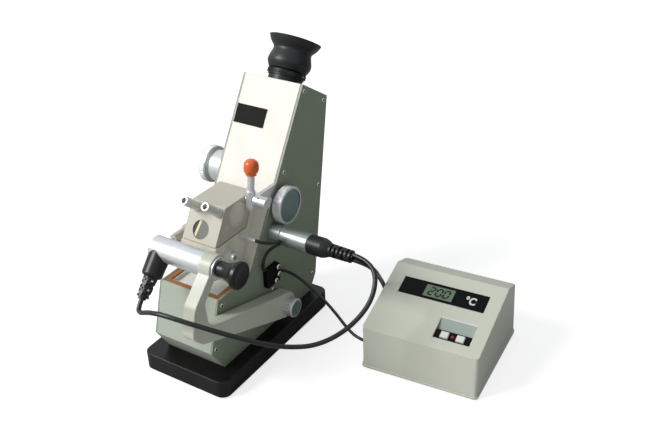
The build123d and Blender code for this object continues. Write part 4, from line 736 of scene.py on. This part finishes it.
# %% The tree of the screws
# The recess is a dark disc on top of each head: painted shade where the hole is.
recess_shade_black = sprayed("recess_shade_black", light(6, 7, 7), light(30, 30, 30), rough=(0.6, 0.7), shine=0.1,
                       dust=0.0)
TAPER, RECESS_H, RECESS_AT = 0.72, 0.4, 0.84
screws, given = new_tree("pan_screws", {"Head": 0.0026, "Height": 0.0009, "Recess": 0.0012})
head = put(screws, "GeometryNodeMeshCone",
           {"Vertices": 24, "Radius Top": times(screws, given["Head"], TAPER),
            "Radius Bottom": given["Head"], "Depth": given["Height"]})
steel = put(screws, "GeometryNodeSetMaterial", {"Geometry": head.outputs["Mesh"],
                                                "Material": finish["screw_steel"]})
hole = put(screws, "GeometryNodeMeshCylinder", {"Vertices": 6, "Radius": given["Recess"],
                                                "Depth": times(screws, given["Height"], RECESS_H)})
lift = put(screws, "ShaderNodeCombineXYZ", {2: times(screws, given["Height"], RECESS_AT)})
raised = put(screws, "GeometryNodeTransform",
             {"Geometry": hole.outputs["Mesh"], "Translation": lift.outputs[0]})
dark = put(screws, "GeometryNodeSetMaterial", {"Geometry": raised.outputs[0], "Material": recess_shade_black})
one = put(screws, "GeometryNodeJoinGeometry")
for made in (steel, dark):
    screws.links.new(made.outputs[0], one.inputs[0])
side = put(screws, "GeometryNodeInputNamedAttribute", {"Name": "side"}, data_type="FLOAT")
aim = put(screws, "ShaderNodeCombineXYZ", {1: times(screws, side.outputs["Attribute"], pi / 2)})
spot = put(screws, "GeometryNodeInstanceOnPoints", {"Points": given["Geometry"], "Instance": one.outputs[0],
                                                    "Rotation": aim.outputs[0]})
real = put(screws, "GeometryNodeRealizeInstances", {0: spot.outputs[0]})
put(screws, "NodeGroupOutput", {0: real.outputs[0]})
screw_heads = run_tree("cover_screw_heads", heads, screws, "frame", "screw_steel", Head=0.0027)

# %% [markdown]
# Fingers need grip on the dioptre ring, so a second tree sets fine ribs round it. It
# starts from a circle of points, turns each rib outwards and lays the ring on its axis.

# %% The tree of the ribs
ribs, given = new_tree("rim_ribs", {"Count": 60, "Radius": 0.018, "Length": 0.003, "Width": 0.0008,
                                    "Proud": 0.0003, "Place": (0.0, 0.0, 0.0), "Turn": (0.0, 0.0, 0.0)})
circle = put(ribs, "GeometryNodeMeshCircle", {"Vertices": given["Count"], "Radius": given["Radius"]})
size = put(ribs, "ShaderNodeCombineXYZ",
           {0: times(ribs, given["Proud"], 2.0), 1: given["Width"], 2: given["Length"]})
rib = put(ribs, "GeometryNodeMeshCube", {"Size": size.outputs[0]})
step = put(ribs, "ShaderNodeMath", {0: 2 * pi, 1: given["Count"]}, operation="DIVIDE")
number = put(ribs, "GeometryNodeInputIndex")
turn = put(ribs, "ShaderNodeCombineXYZ", {2: times(ribs, number.outputs[0], step.outputs[0])})
row = put(ribs, "GeometryNodeInstanceOnPoints",
          {"Points": circle.outputs[0], "Instance": rib.outputs["Mesh"], "Rotation": turn.outputs[0]})
laid = put(ribs, "GeometryNodeTransform",
           {"Geometry": row.outputs[0], "Translation": given["Place"], "Rotation": given["Turn"]})
real = put(ribs, "GeometryNodeRealizeInstances", {0: laid.outputs[0]})
black = put(ribs, "GeometryNodeSetMaterial",
            {"Geometry": real.outputs[0], "Material": finish["black_metal"]})
put(ribs, "NodeGroupOutput", {0: black.outputs[0]})

# %% Places on the sloping parts, in millimetres
EYE_SPOT = Vector((0, 95.364, 228.269))
EYE_PLACE = Matrix.Translation(EYE_SPOT) @ Matrix.Rotation(-SLANT, 4, "X")
RING_LOW, RING_TOP, RING_R, RIB_COUNT = 6.9, 10.4, 18.0, 72
middle = EYE_PLACE @ Vector((0, 0, (RING_LOW + RING_TOP) / 2))
run_tree("dioptre_ribs", bpy.data.meshes.new("dioptre_ribs"), ribs, "dioptre_ring", "black_metal",
         Count=RIB_COUNT, Radius=RING_R * MM, Length=(RING_TOP - RING_LOW) * MM, Place=middle * MM,
         Turn=(-SLANT, 0, 0))

# %% [markdown]
# A white dot on the dioptre ring marks its zero.

# %% Index dot
white_ink = sprayed("white_ink", light(228, 232, 230), light(228, 232, 230), rough=(0.4, 0.5), grain=3000.0,
                    depth=0.000004, tone=0.05, wear_and_highlight=0.0, dust=0.0)
DOT_UP, DOT_R, DOT_LOW, DOT_TOP = 8.4, 0.8, 17.5, 18.5
dot_place = EYE_PLACE @ Matrix.Translation((0, 0, DOT_UP)) @ Matrix.Rotation(pi / 2, 4, "Y")
work = bmesh.new()
add_prism(work, dot_place, round_outline(0, 0, DOT_R, 20), DOT_LOW, DOT_TOP)
finish_piece("dioptre_dot", work, "dioptre_ring", "black_metal", white_ink)

# %% [markdown]
# ## The thermometer's face
# The display shows a plain reading. Its digits are bars of dark liquid crystal just
# above the green glass, and the unit beside them is printed white on the window.

# %% The display's digits
CASE_CORNER, CASE_TURN = (127.4, 17.0, 0), radians(5.08)
FRONT_H, TOP_RISE, TOP_RUN = 45.5, 22.8, 81.0
case_place = Matrix.Translation(CASE_CORNER) @ Matrix.Rotation(CASE_TURN, 4, "Z")
TH_PLACE = (case_place @ Matrix.Translation((0, 0, FRONT_H))
            @ Matrix.Rotation(atan2(TOP_RISE, TOP_RUN), 4, "X"))
BARS = {"top": (0, 1, 1, 1), "high_left": (0, 0.5, 0, 1), "high_right": (1, 0.5, 1, 1),
        "middle": (0, 0.5, 1, 0.5), "low_left": (0, 0, 0, 0.5), "low_right": (1, 0, 1, 0.5),
        "low": (0, 0, 1, 0)}
SHOWN = {"2": ("top", "high_right", "middle", "low_left", "low"),
         "0": ("top", "high_left", "high_right", "low_left", "low_right", "low")}
DIGIT_W, DIGIT_H, DIGIT_STEP, STROKE, LEAN_BY = 4.6, 8.6, 7.2, 1.6, 0.16
FIRST_X, FIRST_Y, POINT_AFTER, POINT_W, POINT_H = 41.2, 55.4, 1.86, 1.1, 1.1
INK_LOW, INK_TOP, BAR_GAP = -0.25, -0.12, 0.5
crystal = sprayed("dark_crystal", light(10, 14, 10), light(10, 14, 10), rough=(0.3, 0.4), grain=3000.0,
                  depth=0.000004, tone=0.2, wear_and_highlight=0.0, dust=0.0, shine=0.2)
work = bmesh.new()
for number, digit in enumerate("200"):
    for bar in SHOWN[digit]:
        x0, y0, x1, y1 = BARS[bar]
        lean0, lean1 = LEAN_BY * DIGIT_H * y0, LEAN_BY * DIGIT_H * y1
        x = FIRST_X + number * DIGIT_STEP
        if x0 == x1:
            across, trim = (STROKE / 2, 0), (LEAN_BY * BAR_GAP, BAR_GAP)
        else:
            across, trim = (0, STROKE / 2), (BAR_GAP, 0)
        ax, ay = x + x0 * DIGIT_W + lean0 + trim[0], FIRST_Y + y0 * DIGIT_H + trim[1]
        bx, by = x + x1 * DIGIT_W + lean1 - trim[0], FIRST_Y + y1 * DIGIT_H - trim[1]
        outline = [(ax - across[0], ay + across[1]), (ax + across[0], ay - across[1]),
                   (bx + across[0], by - across[1]), (bx - across[0], by + across[1])]
        add_prism(work, TH_PLACE, outline, INK_LOW, INK_TOP)
point_x, point_y = FIRST_X + POINT_AFTER * DIGIT_STEP, FIRST_Y - 0.5
add_prism(work, TH_PLACE, [(point_x, point_y), (point_x + POINT_W, point_y),
                           (point_x + POINT_W, point_y + POINT_H), (point_x, point_y + POINT_H)],
          INK_LOW, INK_TOP)
finish_piece("display_digits", work, "frame", "lcd_glass", crystal)

# %% The printed unit
UNIT_SIZE, SQUEEZE, BOLD, THICK = 11.5, 0.8, 0.45, 0.06
UNIT_X, UNIT_Y, UNIT_LEVEL = 81.6, 55.9, -0.48
writing = bpy.data.curves.new("unit_text", "FONT")
writing.body = "°C"
writing.size = UNIT_SIZE
writing.offset = BOLD
writing.extrude = THICK
writing.resolution_u = 6
holder = bpy.data.objects.new("unit_text", writing)
bpy.context.collection.objects.link(holder)
bpy.context.view_layer.update()
flat = bpy.data.meshes.new_from_object(holder)
bpy.data.objects.remove(holder)
work = bmesh.new()
work.from_mesh(flat)
wide = max(v.co.x for v in work.verts) * SQUEEZE
squeezed = Matrix.Diagonal((SQUEEZE, 1, 1, 1))
unit_place = TH_PLACE @ Matrix.Translation((UNIT_X - wide / 2, UNIT_Y, UNIT_LEVEL)) @ squeezed
bmesh.ops.transform(work, matrix=unit_place, verts=work.verts)
bmesh.ops.remove_doubles(work, verts=work.verts, dist=1e-4)
finish_piece("display_unit", work, "frame", "window_plastic", white_ink)

# %% [markdown]
# Under the display a recess slopes down to a black strip with two white keys. The slope
# is moulded in the case's colour, so it gets its own thin lining in a darker grey, painted
# shade in the recess, and a near-white strip along its upper edge, a painted highlight. A
# small red dot stands between the keys.

# %% The recess and its mark
# The lining's darker green-grey is painted shade in the recess.
recess_shade_grey = sprayed("recess_shade_grey", light(168, 184, 174), light(214, 220, 214), rough=(0.4, 0.5),
                      grain=1900.0, depth=0.00004, tone=0.06, wear_and_highlight=0.3)
mark_red = sprayed("mark_red", light(150, 22, 52), light(150, 22, 52), rough=(0.4, 0.5), grain=1900.0,
                   depth=0.00001, tone=0.1, wear_and_highlight=0.0, dust=0.0)
LEFT, RIGHT, STRIP_Y, TOP_Y, DROP, PLAY = 63.5, 97.5, 21.4, 34.0, 4.2, 0.05
across = TH_PLACE @ Matrix(((0, 0, 1, 0), (1, 0, 0, 0), (0, 1, 0, 0), (0, 0, 0, 1)))
work = bmesh.new()
lining = [(STRIP_Y + PLAY, -DROP + 0.02), (TOP_Y - PLAY, -0.38), (TOP_Y - PLAY, -0.2),
          (STRIP_Y + PLAY, -DROP + 0.3)]
add_prism(work, across, lining, LEFT + PLAY, RIGHT - PLAY)
finish_piece("recess_lining", work, "frame", "case_plastic", recess_shade_grey)
# The near-white strip along the recess's upper edge is a painted highlight.
work = bmesh.new()
rim = [(TOP_Y - 0.5, -0.3), (TOP_Y + 0.7, -0.3), (TOP_Y + 0.6, 0.22), (TOP_Y - 0.3, 0.12)]
add_prism(work, across, rim, LEFT - 0.2, RIGHT + 0.2)
finish_piece("recess_edge_highlight", work, "frame", "case_plastic", finish["key_plastic"])
MARK_X, MARK_Y, MARK_R, MARK_LOW, MARK_TOP = 80.0, 16.7, 1.5, -1.25, -1.1
work = bmesh.new()
add_prism(work, TH_PLACE, round_outline(MARK_X, MARK_Y, MARK_R, 24), MARK_LOW, MARK_TOP)
finish_piece("strip_mark", work, "frame", "black_plastic", mark_red)

# %% The lead's grommet in the thermometer's side
LEAD_IN = (0, 14.0, 18.0)
grommet = case_place @ Matrix.Translation(LEAD_IN) @ Matrix.Rotation(-pi / 2, 4, "Y")
work = bmesh.new()
profile = [(1.6, -2.0), (3.9, -2.0), (3.9, -0.2), (5.0, 0.0), (5.0, 1.0), (4.3, 1.6), (1.6, 1.6)]
ring_surface(work, grommet, profile)
finish_piece("lead_grommet", work, "frame", "rubber", finish["rubber"])

# %% [markdown]
# ## What the prism box's window shows
# Through the round window one sees the inside, painted dark as shade, the pale yellow edge
# of the upper prism catching the lamp, painted as a highlight, and its ground face. The pane
# is one disc, cut along the two edges of that strip, with a finish for each part. It stands
# for the CAD model's plain pane, and the screw heads stand for its plain screws.

# %% The window's pane
# The inside's dark colour is painted shade, and the pale yellow strip is a painted highlight of the prism's
# lit edge.
painted_shade_inside = sprayed("painted_shade_inside", light(46, 44, 34), light(60, 58, 48), rough=(0.3, 0.4), tone=0.4,
                      wear_and_highlight=0.0, dust=0.0)
painted_highlight_edge = sprayed("painted_highlight_edge", light(236, 232, 176), light(240, 238, 200), rough=(0.3, 0.4), tone=0.12,
                   wear_and_highlight=0.0, dust=0.0)
ground_face = sprayed("ground_face", light(122, 124, 118), light(150, 150, 146), rough=(0.25, 0.35),
                      grain=2400.0, tone=0.3, wear_and_highlight=0.0, dust=0.0)
FACE_UP, BOX_FOOT = radians(58.6), (0, -45.5, 128.4)
WINDOW_X, WINDOW_UP, PANE_R, PANE_BACK, PANE_FRONT = -1.5, 12.5, 8.5, -2.6, -1.0
face_axes = Matrix(((1, 0, 0), (0, cos(FACE_UP), -sin(FACE_UP)), (0, sin(FACE_UP), cos(FACE_UP)))).to_4x4()
pane_place = (Matrix.Translation(BOX_FOOT) @ face_axes
              @ Matrix.Translation((WINDOW_X, WINDOW_UP, 0)))
work = bmesh.new()
add_prism(work, pane_place, round_outline(0, 0, PANE_R, 64), PANE_BACK, PANE_FRONT)
cuts = [((-6.6, -7.0), (-3.8, 7.0)), ((-4.2, -7.0), (-1.6, 7.0))]
for (ax, ay), (bx, by) in cuts:
    normal = pane_place.to_3x3() @ Vector((by - ay, ax - bx, 0))
    bmesh.ops.bisect_plane(work, geom=work.verts[:] + work.edges[:] + work.faces[:], dist=1e-5,
                           plane_co=pane_place @ Vector((ax, ay, 0)), plane_no=normal)
back = pane_place.inverted()
for face in work.faces:
    x, y, z = back @ face.calc_center_median()
    face.material_index = sum(x > ax + (bx - ax) * (y - ay) / (by - ay) for (ax, ay), (bx, by) in cuts)
pane = finish_piece("window_pane", work, "upper_prism", "prism_glass", painted_shade_inside, painted_highlight_edge, ground_face)
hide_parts("window_glass")
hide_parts("cover_screws")
